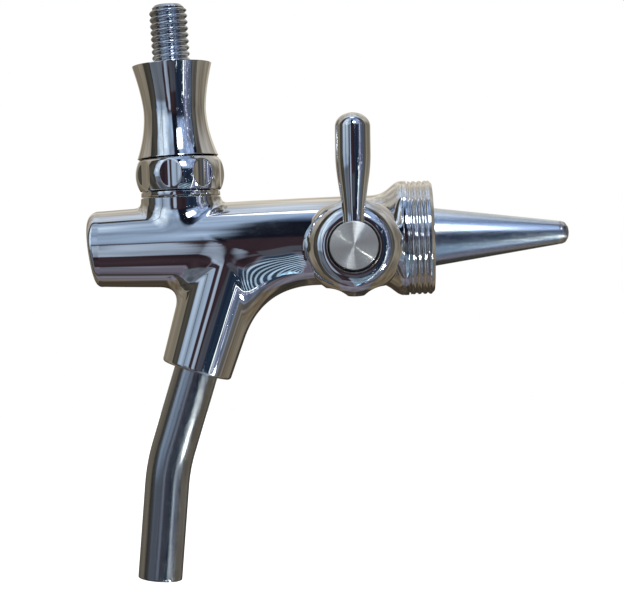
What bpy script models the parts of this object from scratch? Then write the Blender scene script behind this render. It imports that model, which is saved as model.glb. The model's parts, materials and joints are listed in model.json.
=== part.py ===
# Flow control faucet: a plated bar tap with a tilting lever, a drip spout, and a side lever
# that moves a cone in and out of the supply shank to set the flow.
# Frame: +X runs along the barrel to the rear flange, +Z up to the handle stud,
# and the side lever stands on the -Y side. The origin is the centre of the rear flange face.
# Units are metres. Run with: blender --background --python part.py
import math

import bmesh
import bpy
from mathutils import Matrix, Vector

MM = 0.001

# Clearances shared by all pieces
SEAT_GAP = 0.3 * MM
RUNNING_GAP = 0.2 * MM
THREAD_GAP = 0.15 * MM
CUT_OVERRUN = 2.0 * MM
BLEND_SINK = 0.12 * MM
BLEND_ROOT_DEPTH = 2.5 * MM

# Smoothness of the turned surfaces, in sides and in steps of a rounded edge
SIDES_LARGE = 36
SIDES_MEDIUM = 20
SIDES_SMALL = 14
ROUND_STEPS = 3
CURVE_STEPS = 5
BLEND_STEPS = 3
SEARCH_STEPS = 40
SHARP_ANGLE = math.radians(35.0)

# Stations along the barrel, each measured forwards from the one behind it
FLOW_FROM_REAR = 19.75 * MM
SEAT_FROM_FLOW = 16.85 * MM
NECK_FROM_SEAT = 26.2 * MM
FRONT_FROM_NECK = 22.95 * MM
SPOUT_FROM_SEAT = 13.4 * MM

# Outside of the barrel
BARREL_FRONT_RADIUS = 9.5 * MM
BARREL_MIDDLE_RADIUS = 10.55 * MM
BARREL_REAR_RADIUS = 11.0 * MM
BARREL_FRONT_ROUND = 3.0 * MM
BARREL_FRONT_CROWN = 0.3 * MM
BARREL_FRONT_SLANT = math.radians(5.5)
BARREL_FRONT_EDGE = 1.1 * MM
BARREL_FRONT_TOP_EDGE = 2.8 * MM
BARREL_MIDDLE_FROM_NECK = 8.45 * MM
BARREL_REAR_FROM_FLOW = 2.0 * MM

# Rear flange with the coupling thread
FLANGE_RADIUS = 14.3 * MM
FLANGE_THREAD_RADIUS = 14.2 * MM
FLANGE_THREAD_LENGTH = 5.9 * MM
FLANGE_LAND_LENGTH = 1.6 * MM
FLANGE_GROOVE_DEPTH = 0.8 * MM
FLANGE_GROOVE_WIDTH = 0.5 * MM
FLANGE_EDGE_ROUND = 0.8 * MM
FLARE_ANGLE = math.radians(39.0)
FLARE_SHOULDER = 2.2 * MM

# Bores along the barrel
SHAFT_BORE_RADIUS = 5.2 * MM
FRONT_WALL = 3.8 * MM
SEAT_BORE_RADIUS = 4.0 * MM
SEAT_LENGTH = 4.0 * MM
CHAMBER_RADIUS = 7.6 * MM
MOUTH_RADIUS = 9.6 * MM
MOUTH_DEPTH = 12.0 * MM

# Neck and its spigot under the bonnet nut
NECK_RADIUS = 10.05 * MM
NECK_TOP = 13.55 * MM
NECK_GROOVE_WIDTH = 0.7 * MM
NECK_GROOVE_DEPTH = 0.35 * MM
NECK_SPIGOT_RADIUS = 8.9 * MM
NECK_SPIGOT_TOP = 19.1 * MM
NECK_BORE_RADIUS = 7.3 * MM
NECK_LEDGE = 6.4 * MM
NECK_DRILL_RADIUS = 4.4 * MM
NECK_BLEND_END = 1.8 * MM
NECK_BLEND_SIDE = 0.8 * MM

# Lever spindle: ball, neck, stud above and rod with a tip below
PIVOT_HEIGHT = 10.9 * MM
LEVER_LEAN = math.radians(1.75)
LEVER_SWING = math.radians(18.0)
BALL_RADIUS = 5.55 * MM
SPINDLE_NECK_RADIUS = 3.3 * MM
ROD_RADIUS = 1.7 * MM
TIP_RADIUS = 2.0 * MM
STUD_RADIUS = 4.7625 * MM
STUD_TOP = 49.7 * MM
STUD_CHAMFER = 1.5 * MM
STUD_SHOULDER_RISE = 0.2 * MM

# Hourglass collar screwed on the stud, heights above the ball's centre
COLLAR_BOTTOM = 11.45 * MM
COLLAR_TOP = 34.7 * MM
COLLAR_BOTTOM_RADIUS = 10.15 * MM
COLLAR_TOP_RADIUS = 10.0 * MM
COLLAR_WAIST_RADIUS = 7.8 * MM
COLLAR_WAIST_HEIGHT = 23.0 * MM
COLLAR_RIM_WIDTH = 0.25 * MM
COLLAR_EDGE_ROUND = 0.35 * MM
COLLAR_UPPER_FLARE_POWER = 1.55
COLLAR_LOWER_FLARE_POWER = 1.9

# Bonnet nut on the neck
NUT_EQUATOR_RADIUS = 11.1 * MM
NUT_END_RADIUS = 10.0 * MM
NUT_TOP = 22.05 * MM
NUT_LIP_THICKNESS = 0.75 * MM
NUT_EDGE = 0.25 * MM
SCALLOP_COUNT = 8
SCALLOP_DEPTH = 0.85 * MM
SCALLOP_RADIUS = 7.5 * MM
NUT_SCALLOP_TURN = math.radians(-7.0)

# Ball bush, ball seat and friction washer
BUSH_FLANGE_THICKNESS = 0.8 * MM
BUSH_START = 0.15 * MM
WASHER_THICKNESS = 0.5 * MM
WASHER_RIM_GAP = 0.2 * MM
BALL_SEAT_TOP = 0.4 * MM

# Spout branch, its socket and the drip tube
SPOUT_LEAN = math.radians(18.55)
SPOUT_BRANCH_LENGTH = 33.0 * MM
SPOUT_BRANCH_RADIUS = 8.85 * MM
SPOUT_BRANCH_TAPER = math.radians(2.6)
SPOUT_BRANCH_EDGE = 0.7 * MM
SPOUT_BLEND_REAR = 13.0 * MM
SPOUT_BLEND_FRONT = 5.2 * MM
SPOUT_BLEND_SIDE = 0.8 * MM
SPOUT_PORT_RADIUS = 3.5 * MM
SPOUT_SOCKET_DEPTH = 12.0 * MM
TUBE_RADIUS = 5.55 * MM
TUBE_WALL = 1.0 * MM
TUBE_STRAIGHT = 20.2 * MM
TUBE_BEND_RADIUS = 46.0 * MM
TUBE_END_LEAN = math.radians(6.35)
TUBE_TAIL = 23.7 * MM
TUBE_END_EDGE = 0.25 * MM

# Ring seals: section radius and the depth of the groove that holds each
SEAL_SECTION = 0.8 * MM
SEAL_GROOVE_SIDE_GAP = 0.1 * MM
SEAL_SQUEEZE_GAP = 0.1 * MM

# Valve shaft and the seal on its rear end
SHAFT_FRONT_GAP = 0.6 * MM
PISTON_END_FROM_NECK = 5.55 * MM
SHAFT_FLAT_HEIGHT = 0.8 * MM
SHAFT_FLAT_MARGIN = 1.0 * MM
SHAFT_CHAMFER = 0.5 * MM
SHAFT_STEM_RADIUS = 2.2 * MM
SHAFT_SEAL_FROM_PISTON_END = 1.9 * MM
SHAFT_GUIDE_FROM_FRONT = 6.4 * MM
VALVE_SEAL_RADIUS = 5.6 * MM
VALVE_SEAL_THICKNESS = 2.0 * MM
VALVE_SEAL_NOSE_RADIUS = 3.5 * MM
VALVE_SEAL_NOSE_LENGTH = 1.2 * MM
BACKING_RADIUS = 5.0 * MM
BACKING_THICKNESS = 1.0 * MM
SEAL_NUT_FLATS = 6.0 * MM
SEAL_NUT_THICKNESS = 2.0 * MM
STEM_PROUD = 0.5 * MM

# Side boss with its spigot, outwards from the barrel's axis
FLOW_DROP = 1.8 * MM
BOSS_ROOT_RADIUS = 8.6 * MM
BOSS_RADIUS = 10.2 * MM
BOSS_FACE = 13.8 * MM
BOSS_SPIGOT_RADIUS = 9.4 * MM
BOSS_SPIGOT_FACE = 20.0 * MM
BOSS_BLEND_END = 3.0 * MM
BOSS_BLEND_SIDE = 0.6 * MM
BOSS_COUNTERBORE_RADIUS = 6.2 * MM
BOSS_COUNTERBORE_FLOOR = 16.0 * MM

# Flow spindle with its head and eccentric pin
FLOW_JOURNAL_RADIUS = 3.5 * MM
FLOW_COLLAR_THICKNESS = 2.0 * MM
FLOW_HEAD_RADIUS = 5.65 * MM
FLOW_HEAD_FACE = 33.0 * MM
FLOW_HEAD_EDGE = 0.4 * MM
FLOW_JOURNAL_END = 6.4 * MM
FLOW_PIN_RADIUS = 1.2 * MM
FLOW_PIN_END = 0.2 * MM
FLOW_SWING = math.radians(45.0)
FLOW_LEVER_LEAN = math.radians(1.35)
INNER_SEAL_DISTANCE = 9.6 * MM
OUTER_SEAL_DISTANCE = 13.2 * MM

# Flow nut over the side boss
FLOW_NUT_EQUATOR_RADIUS = 12.1 * MM
FLOW_NUT_END_RADIUS = 10.2 * MM
FLOW_NUT_FRONT = 23.3 * MM
FLOW_NUT_DOME_RADIUS = 9.9 * MM
FLOW_NUT_DOME_POWER = 1.8
FLOW_NUT_DOME_TOP = 25.3 * MM
FLOW_NUT_RIM = 0.35 * MM
FLOW_NUT_RECESS_GAP = 0.6 * MM
FLOW_NUT_RECESS_DEPTH = 1.3 * MM
FLOW_NUT_SCALLOP_TURN = math.radians(-22.0)
DUST_RING_THICKNESS = 0.9 * MM

# Flow lever arm screwed into the spindle's head
ARM_AXIS = 29.4 * MM
ARM_ROOT_RADIUS = 2.5 * MM
ARM_TIP_RADIUS = 4.15 * MM
ARM_LENGTH = 31.1 * MM
ARM_TIP_CROWN = 3.3 * MM
ARM_THREAD_RADIUS = 1.7 * MM
ARM_THREAD_LENGTH = 3.0 * MM
ARM_BULB_START_SHARE = 0.72

# Compensator cone, its stem and its guide
CONE_BASE_RADIUS = 7.3 * MM
CONE_END_RADIUS = 2.9 * MM
CONE_LENGTH = 31.7 * MM
CONE_SKIRT = 2.6 * MM
CONE_EDGE_ROUND = 0.4 * MM
STEM_RADIUS = 2.0 * MM
STEM_NOSE_LENGTH = 2.0 * MM
STEM_SHOULDER_RADIUS = 3.4 * MM
YOKE_RADIUS = 4.2 * MM
YOKE_FRONT = 4.4 * MM
YOKE_REAR = 3.4 * MM
YOKE_SLOT_DEPTH_PAST_AXIS = 0.4 * MM
GUIDE_LENGTH = 5.6 * MM
GUIDE_HUB_RADIUS = 3.8 * MM
GUIDE_WING_THICKNESS = 1.6 * MM
GUIDE_WING_INSET = 0.4 * MM
GUIDE_WING_COUNT = 3

PLATED = ("plated_metal", (0.78, 0.79, 0.80), 0.08, 1.0)
BRUSHED = ("brushed_steel", (0.50, 0.49, 0.47), 0.35, 1.0)
SATIN = ("satin_metal", (0.62, 0.64, 0.67), 0.45, 1.0)
BRASS = ("brass", (0.72, 0.55, 0.28), 0.3, 1.0)
STEEL = ("steel", (0.60, 0.60, 0.61), 0.25, 1.0)
RUBBER = ("black_rubber", (0.02, 0.02, 0.02), 0.7, 0.0)
NYLON = ("white_nylon", (0.80, 0.79, 0.74), 0.5, 0.0)

# Places along the barrel, worked out from its stations
FLOW_X = -FLOW_FROM_REAR
SEAT_X = FLOW_X - SEAT_FROM_FLOW
NECK_X = SEAT_X - NECK_FROM_SEAT
SPOUT_X = SEAT_X - SPOUT_FROM_SEAT
BARREL_LENGTH = FRONT_FROM_NECK - NECK_X
BARREL_MIDDLE_X = NECK_X + BARREL_MIDDLE_FROM_NECK
BARREL_REAR_X = FLOW_X + BARREL_REAR_FROM_FLOW
SHAFT_FRONT_X = -BARREL_LENGTH + FRONT_WALL + SHAFT_FRONT_GAP
SHAFT_GUIDE_X = SHAFT_FRONT_X + SHAFT_GUIDE_FROM_FRONT
PISTON_END_X = NECK_X + PISTON_END_FROM_NECK
SHAFT_SEAL_X = PISTON_END_X - SHAFT_SEAL_FROM_PISTON_END

# Directions: how a turned piece's own +Z axis lies in the faucet
UPWARDS = Matrix.Identity(4)
REARWARDS = Matrix.Rotation(math.pi / 2, 4, "Y")
SIDEWAYS = Matrix.Rotation(math.pi / 2, 4, "X")
SPOUTWARDS = Matrix.Rotation(math.pi + SPOUT_LEAN, 4, "Y")


def clear_scene():
    for old in list(bpy.data.objects):
        bpy.data.objects.remove(old, do_unlink=True)


def material(kind):
    name, colour, roughness, metallic = kind
    made = bpy.data.materials.get(name)
    if made is None:
        made = bpy.data.materials.new(name)
        made.use_nodes = True
        shader = made.node_tree.nodes["Principled BSDF"]
        shader.inputs["Base Color"].default_value = (*colour, 1.0)
        shader.inputs["Roughness"].default_value = roughness
        shader.inputs["Metallic"].default_value = metallic
    return made


def add_object(name, bm, kind, place=UPWARDS, parent=None):
    """Turn a bmesh into a named object with its material, placed in its parent's frame."""
    bmesh.ops.recalc_face_normals(bm, faces=bm.faces)
    mesh = bpy.data.meshes.new(name)
    bm.to_mesh(mesh)
    bm.free()
    mesh.shade_smooth()
    mesh.set_sharp_from_angle(angle=SHARP_ANGLE)
    made = bpy.data.objects.new(name, mesh)
    bpy.context.collection.objects.link(made)
    if kind is not None:
        mesh.materials.append(material(kind))
    made.parent = parent
    made.matrix_local = place
    return made


def add_tool(name, bm, place=UPWARDS, parent=None):
    """Add a cutting or joining shape that isn't a piece of the faucet."""
    tool = add_object(name, bm, None, place, parent)
    tool.hide_render = True
    tool.display_type = "WIRE"
    return tool


def combine(target, tool, operation):
    step = target.modifiers.new(tool.name, "BOOLEAN")
    step.operation = operation
    step.object = tool


def cut(target, tool):
    combine(target, tool, "DIFFERENCE")


def join(target, tool):
    combine(target, tool, "UNION")


def joint_frame(name, location, lean=0.0):
    """An empty on a joint's axis, turned by the piece's lean at rest about Y."""
    empty = bpy.data.objects.new(name, None)
    empty.location = location
    empty.rotation_euler = (0.0, lean, 0.0)
    bpy.context.collection.objects.link(empty)
    return empty


def spun(profile, sides, closed=False):
    """Turn a profile of (radius, height) points about Z; a closed one makes a ring."""
    bm = bmesh.new()
    corners = [bm.verts.new((radius, 0.0, height)) for radius, height in profile]
    ends = list(zip(corners, corners[1:]))
    if closed:
        ends.append((corners[-1], corners[0]))
    edges = [bm.edges.new(pair) for pair in ends]
    bmesh.ops.spin(
        bm,
        geom=corners + edges,
        cent=(0.0, 0.0, 0.0),
        axis=(0.0, 0.0, 1.0),
        dvec=(0.0, 0.0, 0.0),
        angle=math.tau,
        steps=sides,
        use_merge=True,
    )
    bmesh.ops.remove_doubles(bm, verts=bm.verts, dist=0.001 * MM)
    return bm


def arc(centre, radius, start, end, steps=ROUND_STEPS):
    """Points of an arc in a profile; angles are in degrees from the radius direction."""
    points = []
    for step in range(steps + 1):
        angle = math.radians(start + (end - start) * step / steps)
        points.append((centre[0] + radius * math.cos(angle), centre[1] + radius * math.sin(angle)))
    return points


def ring_section(inner, outer, bottom, top):
    return [(inner, bottom), (outer, bottom), (outer, top), (inner, top)]


def plug(radius, bottom, top):
    return [(0.0, bottom), (radius, bottom), (radius, top), (0.0, top)]


def seal_ring(name, inner_radius, place, parent=None):
    """A round-section rubber ring whose hole has the given radius."""
    middle = inner_radius + SEAL_SECTION
    section = arc((middle, 0.0), SEAL_SECTION, 0.0, 360.0, 2 * ROUND_STEPS)[:-1]
    return add_object(name, spun(section, SIDES_MEDIUM, closed=True), RUBBER, place, parent)


def seal_groove_half_width():
    return SEAL_SECTION + SEAL_GROOVE_SIDE_GAP


def groove(profile_radius, floor_radius, middle):
    """Profile points of a groove for a seal ring, going up the profile."""
    half = seal_groove_half_width()
    return [
        (profile_radius, middle - half),
        (floor_radius, middle - half),
        (floor_radius, middle + half),
        (profile_radius, middle + half),
    ]


def barrel_radius(x):
    """Outer radius of the barrel at x: a gentle curve through its three radii."""
    front_x = -BARREL_LENGTH + BARREL_FRONT_ROUND
    to_front = BARREL_MIDDLE_X - front_x
    to_rear = BARREL_REAR_X - BARREL_MIDDLE_X
    front_slope = (BARREL_MIDDLE_RADIUS - BARREL_FRONT_RADIUS) / to_front
    rear_slope = (BARREL_REAR_RADIUS - BARREL_MIDDLE_RADIUS) / to_rear
    bend = (rear_slope - front_slope) / (to_front + to_rear)
    x = min(max(x, front_x), BARREL_REAR_X)
    return BARREL_FRONT_RADIUS + front_slope * (x - front_x) + bend * (x - front_x) * (x - BARREL_MIDDLE_X)


def front_edge(turn):
    """Rounding of the front end's edge: widest at the top, where turn is 0."""
    swell = BARREL_FRONT_TOP_EDGE - BARREL_FRONT_EDGE
    return BARREL_FRONT_EDGE + swell * max(math.cos(turn), 0.0) ** 2


def front_points(turn):
    """(radius, X) points of the slanted, crowned front end in one direction, from its middle out."""
    edge = front_edge(turn)
    flat = BARREL_FRONT_RADIUS - edge

    def face(radius):
        crown = BARREL_FRONT_CROWN * (radius / BARREL_FRONT_RADIUS) ** 2
        return -BARREL_LENGTH + crown - math.tan(BARREL_FRONT_SLANT) * radius * math.cos(turn)

    points = [(radius, face(radius)) for radius in (flat * step / 2 for step in (1, 2))]
    for step in range(1, ROUND_STEPS + 1):
        angle = math.radians(90.0) * step / ROUND_STEPS
        radius = flat + edge * math.sin(angle)
        points.append((radius, face(radius) + edge * (1.0 - math.cos(angle))))
    return points


def rear_points():
    """(radius, X) points from the barrel's wall over the flare, the land and the coupling thread."""
    start = -BARREL_LENGTH + BARREL_FRONT_ROUND + BARREL_FRONT_TOP_EDGE
    points = []
    for step in range(CURVE_STEPS + 1):
        x = start + (BARREL_REAR_X - start) * step / CURVE_STEPS
        points.append((barrel_radius(x), x))
    land_start = -FLANGE_THREAD_LENGTH - FLANGE_LAND_LENGTH
    slope = math.tan(FLARE_ANGLE)
    cone_end = FLANGE_RADIUS - slope * FLARE_SHOULDER / 2
    shoulder_start = land_start - FLARE_SHOULDER
    points.append((BARREL_REAR_RADIUS, shoulder_start - (cone_end - BARREL_REAR_RADIUS) / slope))
    for step in range(ROUND_STEPS + 1):
        along = step / ROUND_STEPS
        radius = cone_end + slope * FLARE_SHOULDER * (along - along ** 2 / 2)
        points.append((radius, shoulder_start + FLARE_SHOULDER * along))
    groove_floor = FLANGE_RADIUS - FLANGE_GROOVE_DEPTH
    points += [
        (FLANGE_RADIUS, -FLANGE_THREAD_LENGTH - FLANGE_GROOVE_WIDTH),
        (groove_floor, -FLANGE_THREAD_LENGTH - FLANGE_GROOVE_WIDTH),
        (groove_floor, -FLANGE_THREAD_LENGTH),
        (FLANGE_THREAD_RADIUS, -FLANGE_THREAD_LENGTH),
        (FLANGE_THREAD_RADIUS, -FLANGE_EDGE_ROUND),
        (FLANGE_THREAD_RADIUS - FLANGE_EDGE_ROUND, 0.0),
    ]
    return points


def barrel_shape():
    """The barrel as a closed skin; its front end slants, so each direction has its own points."""
    bm = bmesh.new()
    columns = []
    for side in range(SIDES_LARGE):
        turn = math.tau * side / SIDES_LARGE
        column = front_points(turn) + rear_points()
        across, up = math.sin(turn), math.cos(turn)
        columns.append([bm.verts.new((x, radius * across, radius * up)) for radius, x in column])
    front = bm.verts.new((-BARREL_LENGTH, 0.0, 0.0))
    rear = bm.verts.new((0.0, 0.0, 0.0))
    for here, there in zip(columns, columns[1:] + columns[:1]):
        bm.faces.new((front, here[0], there[0]))
        for row in range(len(here) - 1):
            bm.faces.new((here[row], here[row + 1], there[row + 1], there[row]))
        bm.faces.new((here[-1], rear, there[-1]))
    return bm


def on_barrel(point, inset):
    """Move a point to the barrel's surface, or below it, straight towards the barrel's axis."""
    distance = math.hypot(point.y, point.z)
    wanted = barrel_radius(point.x) - inset
    return Vector((point.x, point.y * wanted / distance, point.z * wanted / distance))


def blended_boss(name, frame, profile, root_radius, setback):
    """A boss that grows out of the barrel with a fillet all round.

    The profile runs from the outer end inwards as (radius, height) points in the boss's own
    frame, and its wall goes on to root_radius at the barrel's axis. setback gives the fillet's
    reach for a direction round the boss, where 1 points along the frame's own +X.
    """
    last_radius, last_height = profile[-1]
    bm = bmesh.new()
    columns = []
    for side in range(SIDES_LARGE):
        turn = math.tau * side / SIDES_LARGE
        outwards = Vector((math.cos(turn), math.sin(turn), 0.0))

        def wall(height):
            radius = root_radius + (last_radius - root_radius) * height / last_height
            return frame @ (outwards * radius + Vector((0.0, 0.0, height)))

        low, high = 0.0, last_height
        for _ in range(SEARCH_STEPS):
            middle = (low + high) / 2
            point = wall(middle)
            outside = math.hypot(point.y, point.z) > barrel_radius(point.x)
            low, high = (low, middle) if outside else (middle, high)
        reach = setback(math.cos(turn))
        corner = wall(high)
        start = wall(min(high + reach, last_height - BLEND_SINK))
        spread = (frame.to_3x3() @ outwards) * reach
        end = on_barrel(corner + spread, BLEND_SINK)
        column = [frame @ (outwards * radius + Vector((0.0, 0.0, height))) for radius, height in profile]
        for step in range(BLEND_STEPS + 1):
            t = step / BLEND_STEPS
            column.append(start * (1 - t) ** 2 + corner * 2 * t * (1 - t) + end * t ** 2)
        column.append(on_barrel(end, BLEND_ROOT_DEPTH))
        columns.append([bm.verts.new(point) for point in column])
    for here, there in zip(columns, columns[1:] + columns[:1]):
        for row in range(len(here) - 1):
            bm.faces.new((here[row], there[row], there[row + 1], here[row + 1]))
    bm.faces.new([column[0] for column in columns])
    middle = sum((column[-1].co for column in columns), Vector()) / len(columns)
    hub = bm.verts.new(middle)
    for here, there in zip(columns, columns[1:] + columns[:1]):
        bm.faces.new((here[-1], there[-1], hub))
    return add_tool(name, bm)


def neck_frame():
    return Matrix.Translation((NECK_X, 0.0, 0.0))


def spout_frame():
    return Matrix.Translation((SPOUT_X, 0.0, 0.0)) @ SPOUTWARDS


def flow_frame():
    return Matrix.Translation((FLOW_X, 0.0, -FLOW_DROP)) @ SIDEWAYS


def neck_shape():
    groove_bottom = NECK_TOP - NECK_GROOVE_WIDTH
    profile = [
        (NECK_SPIGOT_RADIUS - THREAD_GAP, NECK_SPIGOT_TOP),
        (NECK_SPIGOT_RADIUS, NECK_SPIGOT_TOP - THREAD_GAP),
        (NECK_SPIGOT_RADIUS, NECK_TOP),
        (NECK_RADIUS - NECK_GROOVE_DEPTH, NECK_TOP),
        (NECK_RADIUS - NECK_GROOVE_DEPTH, groove_bottom),
        (NECK_RADIUS, groove_bottom),
    ]

    def setback(along):
        return NECK_BLEND_SIDE + (NECK_BLEND_END - NECK_BLEND_SIDE) * along ** 2

    return blended_boss("neck_shape", neck_frame(), profile, NECK_RADIUS, setback)


def branch_shape():
    root_radius = SPOUT_BRANCH_RADIUS + SPOUT_BRANCH_LENGTH * math.tan(SPOUT_BRANCH_TAPER)
    edge_radius = SPOUT_BRANCH_RADIUS - SPOUT_BRANCH_EDGE
    edge_height = SPOUT_BRANCH_LENGTH - SPOUT_BRANCH_EDGE
    profile = arc((edge_radius, edge_height), SPOUT_BRANCH_EDGE, 90.0, 0.0, 3)

    def setback(along):
        end = SPOUT_BLEND_FRONT if along > 0.0 else SPOUT_BLEND_REAR
        return SPOUT_BLEND_SIDE + (end - SPOUT_BLEND_SIDE) * along ** 2

    return blended_boss("branch_shape", spout_frame(), profile, root_radius, setback)


def boss_shape():
    profile = [
        (BOSS_SPIGOT_RADIUS - THREAD_GAP, BOSS_SPIGOT_FACE),
        (BOSS_SPIGOT_RADIUS, BOSS_SPIGOT_FACE - THREAD_GAP),
        (BOSS_SPIGOT_RADIUS, BOSS_FACE),
        (BOSS_RADIUS, BOSS_FACE),
    ]

    def setback(along):
        return BOSS_BLEND_SIDE + (BOSS_BLEND_END - BOSS_BLEND_SIDE) * along ** 2

    return blended_boss("boss_shape", flow_frame(), profile, BOSS_ROOT_RADIUS, setback)


def faucet_body():
    body = add_object("faucet_body", barrel_shape(), PLATED)
    for shape in (neck_shape(), branch_shape(), boss_shape()):
        join(body, shape)
    bore_end = -BARREL_LENGTH + FRONT_WALL
    bores = [
        (0.0, bore_end),
        (SHAFT_BORE_RADIUS, bore_end),
        (SHAFT_BORE_RADIUS, SEAT_X - SEAT_LENGTH),
        (SEAT_BORE_RADIUS, SEAT_X - SEAT_LENGTH),
        (SEAT_BORE_RADIUS, SEAT_X),
        (CHAMBER_RADIUS, SEAT_X),
        (CHAMBER_RADIUS, -MOUTH_DEPTH),
        (MOUTH_RADIUS, -MOUTH_DEPTH),
        (MOUTH_RADIUS, CUT_OVERRUN),
        (0.0, CUT_OVERRUN),
    ]
    cut(body, add_tool("main_bore", spun(bores, SIDES_MEDIUM), REARWARDS))
    neck_bore = [
        (0.0, 0.0),
        (NECK_DRILL_RADIUS, 0.0),
        (NECK_DRILL_RADIUS, NECK_LEDGE),
        (NECK_BORE_RADIUS, NECK_LEDGE),
        (NECK_BORE_RADIUS, NECK_SPIGOT_TOP + CUT_OVERRUN),
        (0.0, NECK_SPIGOT_TOP + CUT_OVERRUN),
    ]
    cut(body, add_tool("neck_bore", spun(neck_bore, SIDES_MEDIUM), neck_frame()))
    socket_floor = SPOUT_BRANCH_LENGTH - SPOUT_SOCKET_DEPTH
    socket_radius = TUBE_RADIUS + SEAT_GAP
    socket_end = SPOUT_BRANCH_LENGTH + CUT_OVERRUN
    socket = [(0.0, 0.0), (SPOUT_PORT_RADIUS, 0.0), (SPOUT_PORT_RADIUS, socket_floor)]
    socket.append((socket_radius, socket_floor))
    socket += groove(socket_radius, spout_seal_outer(), spout_seal_height())
    socket += [(socket_radius, socket_end), (0.0, socket_end)]
    cut(body, add_tool("spout_bore", spun(socket, SIDES_MEDIUM), spout_frame()))
    journal_bore = FLOW_JOURNAL_RADIUS + RUNNING_GAP
    boss_bore = [
        (0.0, 0.0),
        (journal_bore, 0.0),
        (journal_bore, BOSS_COUNTERBORE_FLOOR),
        (BOSS_COUNTERBORE_RADIUS, BOSS_COUNTERBORE_FLOOR),
        (BOSS_COUNTERBORE_RADIUS, BOSS_SPIGOT_FACE + CUT_OVERRUN),
        (0.0, BOSS_SPIGOT_FACE + CUT_OVERRUN),
    ]
    cut(body, add_tool("boss_bore", spun(boss_bore, SIDES_MEDIUM), flow_frame()))
    return body


def spout_seal_outer():
    return TUBE_RADIUS + SEAL_SQUEEZE_GAP * 2 + 2 * SEAL_SECTION


def spout_seal_height():
    return SPOUT_BRANCH_LENGTH - SPOUT_SOCKET_DEPTH / 2


def tube_path():
    """Centre line of the drip tube from its seat in the socket: straight, bend, straight."""
    start_height = SPOUT_BRANCH_LENGTH - SPOUT_SOCKET_DEPTH + SEAT_GAP
    down = Vector((-math.sin(SPOUT_LEAN), 0.0, -math.cos(SPOUT_LEAN)))
    origin = Vector((SPOUT_X, 0.0, 0.0)) + down * start_height
    bend_start = origin + down * (SPOUT_SOCKET_DEPTH + TUBE_STRAIGHT - SEAT_GAP)
    centre = bend_start + Vector((math.cos(SPOUT_LEAN), 0.0, -math.sin(SPOUT_LEAN))) * TUBE_BEND_RADIUS
    path = [(origin, SPOUT_LEAN)]
    turn = SPOUT_LEAN - TUBE_END_LEAN
    for step in range(CURVE_STEPS + 1):
        lean = SPOUT_LEAN - turn * step / CURVE_STEPS
        arm = Vector((-math.cos(lean), 0.0, math.sin(lean))) * TUBE_BEND_RADIUS
        path.append((centre + arm, lean))
    last, lean = path[-1]
    path.append((last + Vector((-math.sin(lean), 0.0, -math.cos(lean))) * TUBE_TAIL, lean))
    return path


def spout_tube():
    """Sweep the tube's ring section along its path, with a closed wall at both ends."""
    inner = TUBE_RADIUS - TUBE_WALL
    bm = bmesh.new()
    path = tube_path()
    stations = [(point, lean, TUBE_RADIUS) for point, lean in path]
    stations[-1:] = edge_stations(path[-1], TUBE_RADIUS, -1.0)
    stations += edge_stations(path[-1], inner, 1.0)[::-1]
    stations += [(point, lean, inner) for point, lean in path[-2::-1]]
    loops = []
    for point, lean, radius in stations:
        across = Vector((math.cos(lean), 0.0, -math.sin(lean)))
        loop = []
        for side in range(SIDES_MEDIUM):
            turn = math.tau * side / SIDES_MEDIUM
            offset = across * math.cos(turn) + Vector((0.0, math.sin(turn), 0.0))
            loop.append(bm.verts.new(point + offset * radius))
        loops.append(loop)
    for here, there in zip(loops, loops[1:] + loops[:1]):
        for side in range(SIDES_MEDIUM):
            after = (side + 1) % SIDES_MEDIUM
            bm.faces.new((here[side], here[after], there[after], there[side]))
    return add_object("spout_tube", bm, BRUSHED)


def edge_stations(path_end, radius, outwards):
    """The two stations of a small chamfer at the tube's open end."""
    point, lean = path_end
    back = Vector((math.sin(lean), 0.0, math.cos(lean))) * TUBE_END_EDGE
    return [(point + back, lean, radius), (point, lean, radius + outwards * TUBE_END_EDGE)]


def spout_seal_ring():
    place = spout_frame() @ Matrix.Translation((0.0, 0.0, spout_seal_height()))
    return seal_ring("spout_seal_ring", TUBE_RADIUS + SEAL_SQUEEZE_GAP, place)


def lever_opening(height):
    """Radius that the spindle's neck sweeps at a height above the ball's centre."""
    furthest = LEVER_LEAN + LEVER_SWING
    return height * math.tan(furthest) + SPINDLE_NECK_RADIUS / math.cos(furthest) + SEAT_GAP


def opening_meets_sphere(sphere_radius):
    """Height at which the swept opening is as wide as a sphere about the ball's centre."""
    low, high = 0.0, sphere_radius
    for _ in range(SEARCH_STEPS):
        middle = (low + high) / 2
        wider = lever_opening(middle) > math.sqrt(sphere_radius ** 2 - middle ** 2)
        low, high = (low, middle) if wider else (middle, high)
    return low


def collar_cavity_radius():
    return math.hypot(COLLAR_BOTTOM_RADIUS - COLLAR_RIM_WIDTH, COLLAR_BOTTOM)


def sphere_points(radius, start_height, end_height, steps=ROUND_STEPS):
    """Profile points on a sphere about the ball's centre between two heights."""
    start = math.asin(start_height / radius)
    end = math.asin(end_height / radius)
    points = []
    for step in range(steps + 1):
        angle = start + (end - start) * step / steps
        points.append((radius * math.cos(angle), radius * math.sin(angle)))
    return points


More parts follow.
